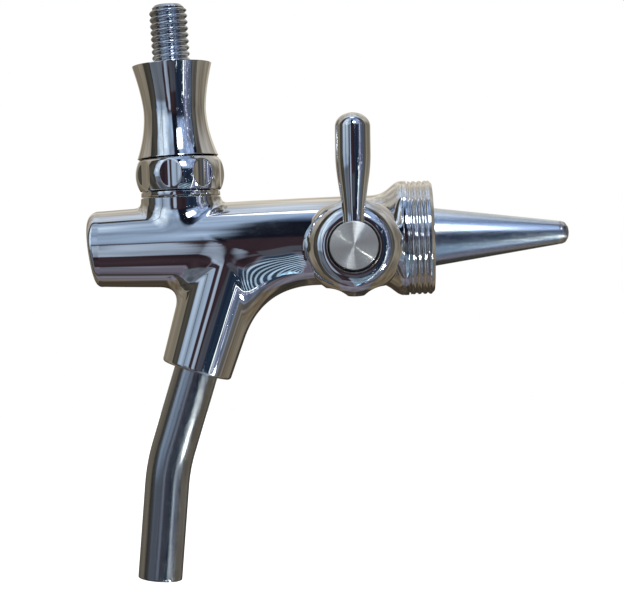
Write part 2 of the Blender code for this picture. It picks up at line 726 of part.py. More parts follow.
def scalloped_nut(name, place, profile, equator, height_range, turn):
    """A turned ring nut with round finger scallops cut round its crown."""
    nut = add_object(name, spun(profile, SIDES_LARGE, closed=True), PLATED, place)
    bm = bmesh.new()
    bottom, top = height_range
    for index in range(SCALLOP_COUNT):
        angle = turn + math.tau * index / SCALLOP_COUNT
        distance = equator - SCALLOP_DEPTH + SCALLOP_RADIUS
        middle = Vector((distance * math.cos(angle), distance * math.sin(angle), (bottom + top) / 2))
        bmesh.ops.create_cone(
            bm,
            cap_ends=True,
            segments=SIDES_MEDIUM,
            radius1=SCALLOP_RADIUS,
            radius2=SCALLOP_RADIUS,
            depth=top - bottom,
            matrix=Matrix.Translation(middle),
        )
    cut(nut, add_tool(name + "_scallops", bm, place))
    return nut


def crown_points(end_radius, equator, bottom, top, steps):
    """Points of a nut's crowned side from its lower to its upper end."""
    half = (top - bottom) / 2
    rise = equator - end_radius
    points = []
    for step in range(steps + 1):
        along = 2 * step / steps - 1
        points.append((equator - rise * along ** 2, bottom + half + half * along))
    return points


def bonnet_nut():
    bottom = NECK_TOP + SEAT_GAP - PIVOT_HEIGHT
    top = NUT_TOP - PIVOT_HEIGHT
    sphere = collar_cavity_radius() - SEAT_GAP
    lip_edge = opening_meets_sphere(sphere)
    lip_bottom = top - NUT_LIP_THICKNESS
    thread = NECK_SPIGOT_RADIUS + THREAD_GAP
    side = crown_points(NUT_END_RADIUS, NUT_EQUATOR_RADIUS, bottom, top, CURVE_STEPS)
    profile = [(thread, bottom), (NUT_END_RADIUS - NUT_EDGE, bottom)]
    profile += [point for point in side if math.hypot(*point) < sphere - NUT_EDGE / 2 and point[1] > bottom]
    profile += sphere_points(sphere, top, lip_edge)
    profile += [(lever_opening(lip_bottom), lip_bottom), (thread, lip_bottom)]
    place = Matrix.Translation((NECK_X, 0.0, PIVOT_HEIGHT))
    scallops = (bottom - CUT_OVERRUN, top + CUT_OVERRUN)
    return scalloped_nut("bonnet_nut", place, profile, NUT_EQUATOR_RADIUS, scallops, NUT_SCALLOP_TURN)


def ball_bush():
    """Upper half of the ball's bearing, hung by its flange on top of the neck."""
    ball_gap_radius = BALL_RADIUS + SEAT_GAP
    outer = NECK_BORE_RADIUS - RUNNING_GAP
    flange_bottom = NECK_SPIGOT_TOP - PIVOT_HEIGHT + SEAT_GAP
    flange_top = flange_bottom + BUSH_FLANGE_THICKNESS
    throat = opening_meets_sphere(ball_gap_radius)
    rim = NECK_SPIGOT_RADIUS - WASHER_RIM_GAP
    profile = [(outer, BUSH_START), (outer, flange_bottom), (rim, flange_bottom)]
    profile += [(rim, flange_top), (lever_opening(flange_top), flange_top)]
    profile += sphere_points(ball_gap_radius, throat, BUSH_START)
    place = Matrix.Translation((NECK_X, 0.0, PIVOT_HEIGHT))
    return add_object("ball_bush", spun(profile, SIDES_MEDIUM, closed=True), NYLON, place)


def friction_washer():
    """Washer between the bush's flange and the nut's lip."""
    top = NUT_TOP - PIVOT_HEIGHT - NUT_LIP_THICKNESS - SEAT_GAP
    rim = NECK_SPIGOT_RADIUS - WASHER_RIM_GAP
    section = ring_section(lever_opening(top), rim, top - WASHER_THICKNESS, top)
    place = Matrix.Translation((NECK_X, 0.0, PIVOT_HEIGHT))
    return add_object("friction_washer", spun(section, SIDES_MEDIUM, closed=True), NYLON, place)


def ball_seat():
    """Lower half of the ball's bearing, on the ledge in the neck."""
    ball_gap_radius = BALL_RADIUS + SEAT_GAP
    outer = NECK_BORE_RADIUS - RUNNING_GAP
    bottom = NECK_LEDGE + SEAT_GAP - PIVOT_HEIGHT
    profile = [(outer, -BALL_SEAT_TOP), (outer, bottom), (NECK_DRILL_RADIUS, bottom)]
    meeting = -math.sqrt(ball_gap_radius ** 2 - NECK_DRILL_RADIUS ** 2)
    profile += sphere_points(ball_gap_radius, meeting, -BALL_SEAT_TOP)
    place = Matrix.Translation((NECK_X, 0.0, PIVOT_HEIGHT))
    return add_object("ball_seat", spun(profile, SIDES_MEDIUM, closed=True), NYLON, place)


def lever_spindle(lever):
    """Rod with its tip, ball, neck and threaded stud, turned in one piece."""
    rod_meets_tip = math.sqrt(TIP_RADIUS ** 2 - ROD_RADIUS ** 2)
    rod_meets_ball = math.sqrt(BALL_RADIUS ** 2 - ROD_RADIUS ** 2)
    neck_meets_ball = math.sqrt(BALL_RADIUS ** 2 - SPINDLE_NECK_RADIUS ** 2)
    stud_start = collar_cavity_radius() + STUD_SHOULDER_RISE
    profile = [(radius, height - PIVOT_HEIGHT) for radius, height in
               sphere_points(TIP_RADIUS, -TIP_RADIUS, rod_meets_tip, CURVE_STEPS // 2)]
    profile[0] = (0.0, profile[0][1])
    profile += sphere_points(BALL_RADIUS, -rod_meets_ball, neck_meets_ball, CURVE_STEPS)
    profile += [
        (SPINDLE_NECK_RADIUS, stud_start),
        (STUD_RADIUS, stud_start),
        (STUD_RADIUS, STUD_TOP - STUD_CHAMFER),
        (STUD_RADIUS - STUD_CHAMFER, STUD_TOP),
        (0.0, STUD_TOP),
    ]
    return add_object("lever_spindle", spun(profile, SIDES_MEDIUM), STEEL, parent=lever)


def lever_collar(lever):
    """Hourglass collar whose hollow foot rides over the bonnet nut's dome."""
    hole = STUD_RADIUS + THREAD_GAP
    cavity = collar_cavity_radius()
    lower = COLLAR_WAIST_HEIGHT - COLLAR_BOTTOM
    upper = COLLAR_TOP - COLLAR_EDGE_ROUND - COLLAR_WAIST_HEIGHT
    lower_flare = COLLAR_BOTTOM_RADIUS - COLLAR_WAIST_RADIUS
    upper_flare = COLLAR_TOP_RADIUS - COLLAR_WAIST_RADIUS
    profile = sphere_points(cavity, math.sqrt(cavity ** 2 - hole ** 2), COLLAR_BOTTOM)
    for step in range(CURVE_STEPS):
        away = 1.0 - step / CURVE_STEPS
        flare = lower_flare * away ** COLLAR_LOWER_FLARE_POWER
        profile.append((COLLAR_WAIST_RADIUS + flare, COLLAR_WAIST_HEIGHT - lower * away))
    for step in range(CURVE_STEPS + 1):
        away = step / CURVE_STEPS
        flare = upper_flare * away ** COLLAR_UPPER_FLARE_POWER
        profile.append((COLLAR_WAIST_RADIUS + flare, COLLAR_WAIST_HEIGHT + upper * away))
    profile += [(COLLAR_TOP_RADIUS - COLLAR_EDGE_ROUND, COLLAR_TOP), (hole, COLLAR_TOP)]
    return add_object("lever_collar", spun(profile, SIDES_LARGE, closed=True), PLATED, parent=lever)


def tip_offset():
    """How far the spindle's tip stands behind the neck's axis when the tap is shut."""
    return PIVOT_HEIGHT * math.sin(LEVER_LEAN)


def piston_radius():
    return SHAFT_BORE_RADIUS - RUNNING_GAP


def valve_shaft(valve):
    """Piston with a cross hole for the lever's tip, and a stem through the seat."""
    piston = piston_radius()
    seal_floor = shaft_seal_inner() - SEAL_SQUEEZE_GAP
    stem_end = SEAT_X + seal_stack() + STEM_PROUD
    profile = [(0.0, SHAFT_FRONT_X), (piston - SHAFT_CHAMFER, SHAFT_FRONT_X)]
    profile.append((piston, SHAFT_FRONT_X + SHAFT_CHAMFER))
    profile += groove(piston, seal_floor, SHAFT_GUIDE_X)
    profile += groove(piston, seal_floor, SHAFT_SEAL_X)
    profile += [
        (piston, PISTON_END_X),
        (SHAFT_STEM_RADIUS, PISTON_END_X),
        (SHAFT_STEM_RADIUS, stem_end),
        (0.0, stem_end),
    ]
    shaft = add_object("valve_shaft", spun(profile, SIDES_MEDIUM), BRASS, REARWARDS, valve)
    hole_x = NECK_X + tip_offset()
    hole_radius = TIP_RADIUS + THREAD_GAP
    hole = add_tool(
        "shaft_cross_hole",
        spun(plug(hole_radius, -piston - CUT_OVERRUN, piston + CUT_OVERRUN), SIDES_SMALL),
        Matrix.Translation((hole_x, 0.0, 0.0)),
        valve,
    )
    cut(shaft, hole)
    flat = bmesh.new()
    bmesh.ops.create_cube(flat, size=1.0)
    reach = NECK_DRILL_RADIUS + SHAFT_FLAT_MARGIN
    height = 2 * piston
    bmesh.ops.scale(flat, verts=flat.verts, vec=(reach, height + CUT_OVERRUN, height))
    middle = Vector((hole_x - reach / 2, 0.0, SHAFT_FLAT_HEIGHT + height / 2))
    bmesh.ops.translate(flat, verts=flat.verts, vec=middle)
    cut(shaft, add_tool("shaft_flat", flat, parent=valve))
    return shaft


def shaft_seal_inner():
    return SHAFT_BORE_RADIUS - SEAL_SQUEEZE_GAP - 2 * SEAL_SECTION


def seal_stack():
    """Length of the seal, its backing washer and its nut behind the seat."""
    return 3 * SEAT_GAP + VALVE_SEAL_THICKNESS + BACKING_THICKNESS + SEAL_NUT_THICKNESS


def valve_pieces(valve):
    inner = shaft_seal_inner()
    seal_ring("shaft_seal_ring", inner, Matrix.Translation((SHAFT_SEAL_X, 0.0, 0.0)) @ REARWARDS, valve)
    seal_ring("shaft_guide_ring", inner, Matrix.Translation((SHAFT_GUIDE_X, 0.0, 0.0)) @ REARWARDS, valve)
    hole = SHAFT_STEM_RADIUS + RUNNING_GAP
    seal_start = SEAT_X + SEAT_GAP
    seal_end = seal_start + VALVE_SEAL_THICKNESS
    nose = seal_start - SEAT_GAP - VALVE_SEAL_NOSE_LENGTH
    seal = [
        (hole, nose),
        (VALVE_SEAL_NOSE_RADIUS - SEAT_GAP, nose),
        (VALVE_SEAL_NOSE_RADIUS, seal_start),
        (VALVE_SEAL_RADIUS, seal_start),
        (VALVE_SEAL_RADIUS, seal_end),
        (hole, seal_end),
    ]
    add_object("valve_seal", spun(seal, SIDES_MEDIUM, closed=True), RUBBER, REARWARDS, valve)
    backing_start = seal_end + SEAT_GAP
    backing_end = backing_start + BACKING_THICKNESS
    backing = ring_section(hole, BACKING_RADIUS, backing_start, backing_end)
    add_object("seal_backing", spun(backing, SIDES_MEDIUM, closed=True), STEEL, REARWARDS, valve)
    nut_start = backing_end + SEAT_GAP
    hexagon = SEAL_NUT_FLATS / math.sqrt(3.0)
    nut_end = nut_start + SEAL_NUT_THICKNESS
    nut = add_object("seal_nut", spun(plug(hexagon, nut_start, nut_end), 6), STEEL, REARWARDS, valve)
    bore = plug(hole, nut_start - CUT_OVERRUN, nut_end + CUT_OVERRUN)
    cut(nut, add_tool("seal_nut_bore", spun(bore, SIDES_SMALL), REARWARDS, valve))


def flow_seal_inner():
    return FLOW_JOURNAL_RADIUS + RUNNING_GAP - SEAL_SQUEEZE_GAP - 2 * SEAL_SECTION


def flow_spindle(flow_lever):
    """Head, journal with two seal grooves, trapped collar and eccentric pin."""
    floor = flow_seal_inner() - SEAL_SQUEEZE_GAP
    collar_bottom = BOSS_COUNTERBORE_FLOOR + SEAT_GAP
    collar_top = collar_bottom + FLOW_COLLAR_THICKNESS
    collar_radius = BOSS_COUNTERBORE_RADIUS - RUNNING_GAP
    head_back = dust_ring_top() + SEAT_GAP
    profile = [(0.0, FLOW_JOURNAL_END), (FLOW_JOURNAL_RADIUS, FLOW_JOURNAL_END)]
    profile += groove(FLOW_JOURNAL_RADIUS, floor, INNER_SEAL_DISTANCE)
    profile += groove(FLOW_JOURNAL_RADIUS, floor, OUTER_SEAL_DISTANCE)
    profile += [
        (FLOW_JOURNAL_RADIUS, collar_bottom),
        (collar_radius, collar_bottom),
        (collar_radius, collar_top),
        (FLOW_JOURNAL_RADIUS, collar_top),
        (FLOW_JOURNAL_RADIUS, head_back),
        (FLOW_HEAD_RADIUS, head_back),
        (FLOW_HEAD_RADIUS, FLOW_HEAD_FACE - FLOW_HEAD_EDGE),
        (FLOW_HEAD_RADIUS - FLOW_HEAD_EDGE, FLOW_HEAD_FACE),
        (0.0, FLOW_HEAD_FACE),
    ]
    spindle = add_object("flow_spindle", spun(profile, SIDES_MEDIUM), STEEL, SIDEWAYS, flow_lever)
    pin = plug(FLOW_PIN_RADIUS, FLOW_PIN_END, FLOW_JOURNAL_END + FLOW_PIN_RADIUS)
    pin_place = Matrix.Translation((0.0, 0.0, FLOW_DROP)) @ SIDEWAYS
    join(spindle, add_tool("eccentric_pin", spun(pin, SIDES_SMALL), pin_place, flow_lever))
    hole = plug(arm_hole_radius(), arm_thread_start() - SEAT_GAP, FLOW_HEAD_RADIUS + CUT_OVERRUN)
    hole_place = Matrix.Translation((0.0, -ARM_AXIS, 0.0))
    cut(spindle, add_tool("arm_hole", spun(hole, SIDES_SMALL), hole_place, flow_lever))
    return spindle


def arm_hole_radius():
    return ARM_THREAD_RADIUS + THREAD_GAP


def arm_thread_start():
    return FLOW_HEAD_RADIUS - ARM_THREAD_LENGTH


def flow_lever_arm(flow_lever):
    """Slim arm that swells to a bulb with a crowned tip."""
    start = FLOW_HEAD_RADIUS + SEAT_GAP / 2
    bulb = ARM_LENGTH - ARM_TIP_CROWN
    profile = [(0.0, arm_thread_start()), (ARM_THREAD_RADIUS, arm_thread_start())]
    profile += [(ARM_THREAD_RADIUS, start), (ARM_ROOT_RADIUS, start)]
    swell = ARM_TIP_RADIUS - ARM_ROOT_RADIUS
    bulb_start = start + (bulb - start) * ARM_BULB_START_SHARE
    for step in range(1, CURVE_STEPS + 1):
        along = step / CURVE_STEPS
        ease = along * along * (3.0 - 2.0 * along)
        profile.append((ARM_ROOT_RADIUS + swell * ease, start + (bulb_start - start) * along))
    profile.append((ARM_TIP_RADIUS, bulb))
    for step in range(1, CURVE_STEPS // 2 + 1):
        turn = math.radians(90.0) * step / (CURVE_STEPS // 2)
        radius = ARM_TIP_RADIUS * math.cos(turn) if step < CURVE_STEPS // 2 else 0.0
        profile.append((radius, bulb + ARM_TIP_CROWN * math.sin(turn)))
    place = Matrix.Translation((0.0, -ARM_AXIS, 0.0))
    return add_object("flow_lever_arm", spun(profile, SIDES_MEDIUM), PLATED, place, flow_lever)


def flow_seals(flow_lever):
    seals = (("flow_inner_seal_ring", INNER_SEAL_DISTANCE), ("flow_outer_seal_ring", OUTER_SEAL_DISTANCE))
    for name, distance in seals:
        place = Matrix.Translation((0.0, -distance, 0.0)) @ SIDEWAYS
        seal_ring(name, flow_seal_inner(), place, flow_lever)


def thrust_washer():
    bottom = BOSS_COUNTERBORE_FLOOR + 2 * SEAT_GAP + FLOW_COLLAR_THICKNESS
    section = ring_section(
        FLOW_JOURNAL_RADIUS + RUNNING_GAP,
        BOSS_COUNTERBORE_RADIUS - RUNNING_GAP,
        bottom,
        BOSS_SPIGOT_FACE,
    )
    return add_object("thrust_washer", spun(section, SIDES_MEDIUM, closed=True), NYLON, flow_frame())


def recess_floor():
    return FLOW_NUT_DOME_TOP - FLOW_NUT_RECESS_DEPTH


def dust_ring_top():
    return recess_floor() + SEAT_GAP + DUST_RING_THICKNESS


def flow_nut():
    bottom = BOSS_FACE + SEAT_GAP
    thread = BOSS_SPIGOT_RADIUS + THREAD_GAP
    inner_face = BOSS_SPIGOT_FACE + SEAT_GAP
    journal = FLOW_JOURNAL_RADIUS + RUNNING_GAP
    recess = FLOW_HEAD_RADIUS + FLOW_NUT_RECESS_GAP
    equator = FLOW_NUT_EQUATOR_RADIUS
    side = crown_points(FLOW_NUT_END_RADIUS, equator, bottom, FLOW_NUT_FRONT, CURVE_STEPS)
    dome_drop = FLOW_NUT_DOME_TOP - FLOW_NUT_FRONT
    profile = [(thread, bottom)] + side
    span = FLOW_NUT_DOME_RADIUS - recess - FLOW_NUT_RIM
    for step in range(ROUND_STEPS + 2):
        away = 1.0 - step / (ROUND_STEPS + 1)
        height = FLOW_NUT_FRONT + dome_drop * (1.0 - away ** FLOW_NUT_DOME_POWER)
        profile.append((recess + FLOW_NUT_RIM + span * away, height))
    profile += [(recess, FLOW_NUT_DOME_TOP), (recess, recess_floor()), (journal, recess_floor())]
    profile += [(journal, inner_face), (thread, inner_face)]
    scallops = (bottom - CUT_OVERRUN, FLOW_NUT_DOME_TOP + CUT_OVERRUN)
    return scalloped_nut("flow_nut", flow_frame(), profile, equator, scallops, FLOW_NUT_SCALLOP_TURN)


def dust_ring():
    bottom = recess_floor() + SEAT_GAP
    outer = FLOW_HEAD_RADIUS + FLOW_NUT_RECESS_GAP - RUNNING_GAP
    section = ring_section(FLOW_JOURNAL_RADIUS + RUNNING_GAP, outer, bottom, dust_ring_top())
    return add_object("dust_ring", spun(section, SIDES_MEDIUM, closed=True), RUBBER, flow_frame())


def stem_bore():
    return STEM_RADIUS + SEAT_GAP


def cone_stem(compensator):
    """Stem with the eccentric's yoke in front, through the cone to its rounded nose."""
    yoke_x = yoke_centre()
    guide_front = guide_start() - SEAT_GAP
    cone_end = CONE_LENGTH + SEAT_GAP
    nose_radius = CONE_END_RADIUS
    profile = [
        (0.0, yoke_x - YOKE_FRONT),
        (YOKE_RADIUS, yoke_x - YOKE_FRONT),
        (YOKE_RADIUS, yoke_x + YOKE_REAR),
        (STEM_SHOULDER_RADIUS, yoke_x + YOKE_REAR),
        (STEM_SHOULDER_RADIUS, guide_front),
        (STEM_RADIUS, guide_front),
        (STEM_RADIUS, cone_end),
    ]
    profile.append((nose_radius, cone_end))
    for step in range(1, ROUND_STEPS + 1):
        turn = math.radians(90.0) * step / ROUND_STEPS
        radius = nose_radius * math.cos(turn) if step < ROUND_STEPS else 0.0
        profile.append((radius, cone_end + STEM_NOSE_LENGTH * math.sin(turn)))
    stem = add_object("cone_stem", spun(profile, SIDES_MEDIUM), STEEL, REARWARDS, compensator)
    slot = bmesh.new()
    bmesh.ops.create_cube(slot, size=1.0)
    width = 2 * (FLOW_PIN_RADIUS + RUNNING_GAP)
    lowest = FLOW_DROP * (1.0 - math.cos(FLOW_SWING + FLOW_LEVER_LEAN)) + FLOW_PIN_RADIUS + SEAT_GAP
    highest = FLOW_PIN_RADIUS + SEAT_GAP
    depth = YOKE_RADIUS + CUT_OVERRUN + YOKE_SLOT_DEPTH_PAST_AXIS
    bmesh.ops.scale(slot, verts=slot.verts, vec=(width, depth, lowest + highest))
    middle = Vector((yoke_x, YOKE_SLOT_DEPTH_PAST_AXIS - depth / 2, (highest - lowest) / 2))
    bmesh.ops.translate(slot, verts=slot.verts, vec=middle)
    cut(stem, add_tool("yoke_slot", slot, parent=compensator))
    return stem


def yoke_centre():
    return FLOW_X + FLOW_DROP * math.sin(FLOW_LEVER_LEAN)


def guide_start():
    return -CONE_SKIRT - SEAT_GAP - GUIDE_LENGTH


def cone_guide(compensator):
    """Three-winged guide that keeps the stem on the axis and lets the drink pass."""
    start = guide_start()
    end = start + GUIDE_LENGTH
    hub = spun(plug(GUIDE_HUB_RADIUS, start, end), SIDES_SMALL)
    guide = add_object("cone_guide", hub, NYLON, REARWARDS, compensator)
    wing_length = GUIDE_LENGTH - 2 * GUIDE_WING_INSET
    wing_reach = MOUTH_RADIUS - RUNNING_GAP
    for index in range(GUIDE_WING_COUNT):
        wing = bmesh.new()
        bmesh.ops.create_cube(wing, size=1.0)
        bmesh.ops.scale(wing, verts=wing.verts, vec=(wing_length, GUIDE_WING_THICKNESS, wing_reach))
        bmesh.ops.translate(wing, verts=wing.verts, vec=((start + end) / 2, 0.0, wing_reach / 2))
        turn = Matrix.Rotation(math.tau * index / GUIDE_WING_COUNT, 4, "X")
        join(guide, add_tool("guide_wing_%d" % (index + 1), wing, turn, compensator))
    bore = plug(stem_bore(), start - CUT_OVERRUN, end + CUT_OVERRUN)
    cut(guide, add_tool("guide_bore", spun(bore, SIDES_SMALL), REARWARDS, compensator))
    return guide


def compensator_cone(compensator):
    bore = stem_bore()
    profile = [
        (bore, -CONE_SKIRT),
        (CONE_BASE_RADIUS - CONE_EDGE_ROUND, -CONE_SKIRT),
        (CONE_BASE_RADIUS, -CONE_SKIRT + CONE_EDGE_ROUND),
        (CONE_BASE_RADIUS, 0.0),
        (CONE_END_RADIUS, CONE_LENGTH),
        (bore, CONE_LENGTH),
    ]
    cone = spun(profile, SIDES_LARGE, closed=True)
    return add_object("compensator_cone", cone, SATIN, REARWARDS, compensator)


def main():
    clear_scene()
    faucet_body()
    spout_tube()
    spout_seal_ring()
    bonnet_nut()
    ball_bush()
    friction_washer()
    ball_seat()
    lever = joint_frame("lever_pivot", (NECK_X, 0.0, PIVOT_HEIGHT), -LEVER_LEAN)
    lever_spindle(lever)
    lever_collar(lever)
    valve = joint_frame("valve_slide", (0.0, 0.0, 0.0))
    valve_shaft(valve)
    valve_pieces(valve)
    flow_lever = joint_frame("flow_pivot", (FLOW_X, 0.0, -FLOW_DROP), FLOW_LEVER_LEAN)
    flow_spindle(flow_lever)
    flow_lever_arm(flow_lever)
    flow_seals(flow_lever)
    thrust_washer()
    flow_nut()
    dust_ring()
    compensator = joint_frame("compensator_slide", (0.0, 0.0, 0.0))
    cone_stem(compensator)
    cone_guide(compensator)
    compensator_cone(compensator)


main()
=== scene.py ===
# Looks of a plated flow control faucet: every visible piece as a fine surface with its finish.
# Frame: +X runs along the barrel to the rear flange, +Z up to the handle stud, and the side
# lever stands on the -Y side. The origin is the centre of the rear flange face. Units are metres.
import json
import math

import bpy
import numpy as np
from bpy.props import FloatProperty, FloatVectorProperty, IntProperty, PointerProperty
from mathutils import Matrix, Vector


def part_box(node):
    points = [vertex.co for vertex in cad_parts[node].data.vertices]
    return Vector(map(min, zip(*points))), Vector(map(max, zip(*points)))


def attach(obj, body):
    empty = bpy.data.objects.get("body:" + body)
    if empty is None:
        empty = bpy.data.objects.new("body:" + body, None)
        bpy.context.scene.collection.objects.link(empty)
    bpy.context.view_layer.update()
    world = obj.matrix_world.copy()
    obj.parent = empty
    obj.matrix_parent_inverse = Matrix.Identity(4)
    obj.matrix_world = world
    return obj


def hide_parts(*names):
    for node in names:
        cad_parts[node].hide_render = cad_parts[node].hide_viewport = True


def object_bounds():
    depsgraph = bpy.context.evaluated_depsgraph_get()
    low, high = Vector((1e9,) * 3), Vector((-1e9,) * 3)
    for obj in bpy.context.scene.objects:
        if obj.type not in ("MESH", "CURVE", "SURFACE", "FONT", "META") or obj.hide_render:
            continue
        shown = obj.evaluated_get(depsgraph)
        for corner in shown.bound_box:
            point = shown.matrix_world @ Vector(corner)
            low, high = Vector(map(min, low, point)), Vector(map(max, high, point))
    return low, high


bl_info = {
    "name": "Flow Control Faucet",
    "version": (1, 0, 0),
    "blender": (4, 5, 0),
    "location": "3D View > Sidebar > Faucet",
    "description": "Builds the fine surfaces and finishes of a plated flow control faucet",
    "category": "Add Mesh",
}

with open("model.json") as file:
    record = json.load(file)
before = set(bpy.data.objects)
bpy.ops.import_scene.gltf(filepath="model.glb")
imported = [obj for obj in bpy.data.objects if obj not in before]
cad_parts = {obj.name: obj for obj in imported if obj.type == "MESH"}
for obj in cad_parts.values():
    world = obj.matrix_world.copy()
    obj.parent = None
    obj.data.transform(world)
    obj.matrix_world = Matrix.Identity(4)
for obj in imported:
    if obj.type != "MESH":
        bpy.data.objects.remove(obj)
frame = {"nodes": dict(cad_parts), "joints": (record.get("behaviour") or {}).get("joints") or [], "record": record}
CAD_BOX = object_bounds()

MM = 0.001
SHARP_ANGLE = math.radians(32.0)
FLAT_TURN = math.radians(12.0)
FINE_SIDES = 256
PLAIN_SIDES = 128
CURVE_STEPS = 40
EDGE_STEPS = 3

# Directions: how a turned piece's own +Z axis lies in the faucet
REARWARDS = Matrix.Rotation(math.pi / 2, 4, "Y")
SIDEWAYS = Matrix.Rotation(math.pi / 2, 4, "X")

JOINTS = {joint["name"]: joint for joint in frame["joints"]}
LEVER_PIVOT = Vector(JOINTS["handle_tilt"]["pos_m"])
FLOW_PIVOT = Vector(JOINTS["flow_lever_turn"]["pos_m"])


def length(name, millimetres, description):
    return FloatProperty(name=name, description=description, default=millimetres * MM, unit="LENGTH")


def angle(name, degrees, description):
    turn = math.radians(degrees)
    return FloatProperty(name=name, description=description, default=turn, subtype="ANGLE")


def number(name, value, description):
    return FloatProperty(name=name, description=description, default=value)


def colour(name, values, description):
    return FloatVectorProperty(
        name=name, description=description, default=values, size=3, min=0.0, max=1.0, subtype="COLOR"
    )


class CastingSizes(bpy.types.PropertyGroup):
    """Outside of the cast body."""

    barrel_length: length("Barrel length", 85.75, "From the flange's face to the middle of the front end")
    front_radius: length("Front radius", 9.5, "Barrel radius at its front end")
    middle_radius: length("Middle radius", 10.55, "Barrel radius between neck and spout")
    rear_radius: length("Rear radius", 11.0, "Barrel radius in front of the flare")
    middle_x: length("Middle place", -54.35, "Where the middle radius is measured")
    rear_x: length("Rear place", -17.75, "Where the rear radius is measured")
    front_round: length("Front place", 3.0, "Where the front radius is measured, behind the front end")
    front_crown: length("Front crown", 0.3, "How far the front end is domed")
    front_slant: angle("Front slant", 5.5, "How far the front end leans forwards at its top")
    front_edge: length("Front edge", 1.1, "Rounding of the front end's edge")
    front_top_edge: length("Front top edge", 2.8, "Rounding of the front end's edge at its top")
    flange_radius: length("Flange radius", 14.3, "Radius of the flange's land")
    flare_angle: angle("Flare angle", 39.0, "Slope of the flare")
    flare_shoulder: length("Flare shoulder", 2.2, "Length of the flare's rounded shoulder")
    flare_blend: length("Flare blend", 1.6, "Reach of the blend between barrel and flare")
    flare_end: length("Flare end", -7.5, "Where the flare meets the flange's land")
    neck_radius: length("Neck radius", 10.05, "Radius of the neck under the bonnet nut")
    neck_depth: length("Neck depth", 8.0, "Half the neck's width across the barrel")
    neck_top: length("Neck top", 12.3, "Height of the neck's wall above the barrel's axis")
    neck_reach: length("Neck fillet", 1.8, "Reach of the neck's fillet along the barrel")
    neck_side: length("Neck side fillet", 2.4, "Reach of the neck's fillet across the barrel")
    spout_x: length("Spout place", -50.0, "Where the spout branch's axis meets the barrel's axis")
    spout_lean: angle("Spout lean", 18.55, "How far the branch leans forwards")
    branch_length: length("Branch length", 33.0, "Length of the spout branch from the barrel's axis")
    branch_radius: length("Branch radius", 8.85, "Radius of the branch at its open end")
    branch_taper: angle("Branch taper", 2.6, "Taper of the branch's wall")
    branch_edge: length("Branch edge", 0.7, "Rounding of the branch's open end")
    branch_rear: length("Rear fillet", 13.0, "Reach of the fillet behind the branch")
    branch_front: length("Front fillet", 5.2, "Reach of the fillet in front of the branch")
    branch_side: length("Side fillet", 0.8, "Reach of the fillet beside the branch")
    boss_root: length("Boss root radius", 8.6, "Radius of the side boss at the barrel's axis")
    boss_radius: length("Boss radius", 10.2, "Radius of the side boss at its face")
    boss_face: length("Boss face", 13.8, "Distance of the boss's face from the barrel's axis")
    boss_reach: length("Boss fillet", 3.0, "Reach of the boss's fillet along the barrel")
    boss_side: length("Boss side fillet", 0.6, "Reach of the boss's fillet across the barrel")
    wall_edge: length("Wall edge", 0.3, "Rounding of the neck's and the side boss's outer edge")
    mouth_radius: length("Mouth cut radius", 10.4, "Radius of the room left for the flange's mouth")
    mouth_depth: length("Mouth cut depth", 14.5, "Depth of the room left for the flange's mouth")
    cell: length("Surface cell", 0.4, "Cell size of the casting's surface")
    margin: length("Surface margin", 1.5, "Room round the casting where its surface is looked for")


class FlangeSizes(bpy.types.PropertyGroup):
    """Rear flange with the coupling thread and the barrel's mouth."""

    seam_lap: length("Seam lap", 0.05, "How far the land starts inside the casting")
    land_inset: length("Land inset", 0.02, "How far the land's hidden front edge is drawn in")
    small_step: length("Small step", 0.1, "Run of the land's and the groove's slanted edges")
    groove_start: length("Groove start", -6.4, "Where the groove in front of the thread begins")
    groove_depth: length("Groove depth", 0.6, "Depth of that groove")
    thread_start: length("Thread start", -5.9, "Where the coupling thread begins")
    thread_end: length("Thread end", -0.9, "Where the coupling thread runs out")
    thread_radius: length("Thread radius", 14.2, "Radius over the thread's crests")
    thread_pitch: length("Thread pitch", 1.411, "Distance from crest to crest")
    thread_depth: length("Thread depth", 0.44, "Depth of the thread")
    thread_lead: length("Thread lead", 0.5, "Length over which the thread fades in and out")
    front_margin: length("Front margin", 0.3, "Finely divided length in front of the thread")
    rear_margin: length("Rear margin", 0.2, "Plain length behind the thread")
    spacing: length("Spacing", 0.06, "Spacing of the points along the thread")
    edge: length("Edge", 0.12, "Rounding of the flange's small edges")
    rear_round: length("Rear rounding", 0.8, "Rounding of the flange's rear edge")
    mouth_radius: length("Mouth radius", 9.6, "Radius of the barrel's mouth")
    mouth_depth: length("Mouth depth", 12.0, "Depth of the barrel's mouth")
    chamber_radius: length("Chamber radius", 7.6, "Radius of the chamber behind the mouth")
    chamber_depth: length("Chamber depth", 2.0, "Depth of the chamber that is shown")
    hidden_wall: length("Hidden wall", 0.7, "How far the hidden wall stands behind the mouth")


class NeckRingSizes(bpy.types.PropertyGroup):
    """Round ring between the neck's wall and the bonnet nut."""

    floor_drop: length("Floor drop", 0.5, "How far the floor lies inside the neck's narrow side")
    inset: length("Inset", 0.15, "How far the ring lies inside the neck's wide side")
    gap: length("Gap", 0.25, "Gap below and above the ring")
    wall: length("Wall", 2.0, "Wall of the floor")
    below: length("Below", 1.0, "How far the floor reaches down into the neck")
    above: length("Above", 0.6, "How far the floor reaches up into the nut")
    edge: length("Edge", 0.15, "Rounding of the ring's edges")


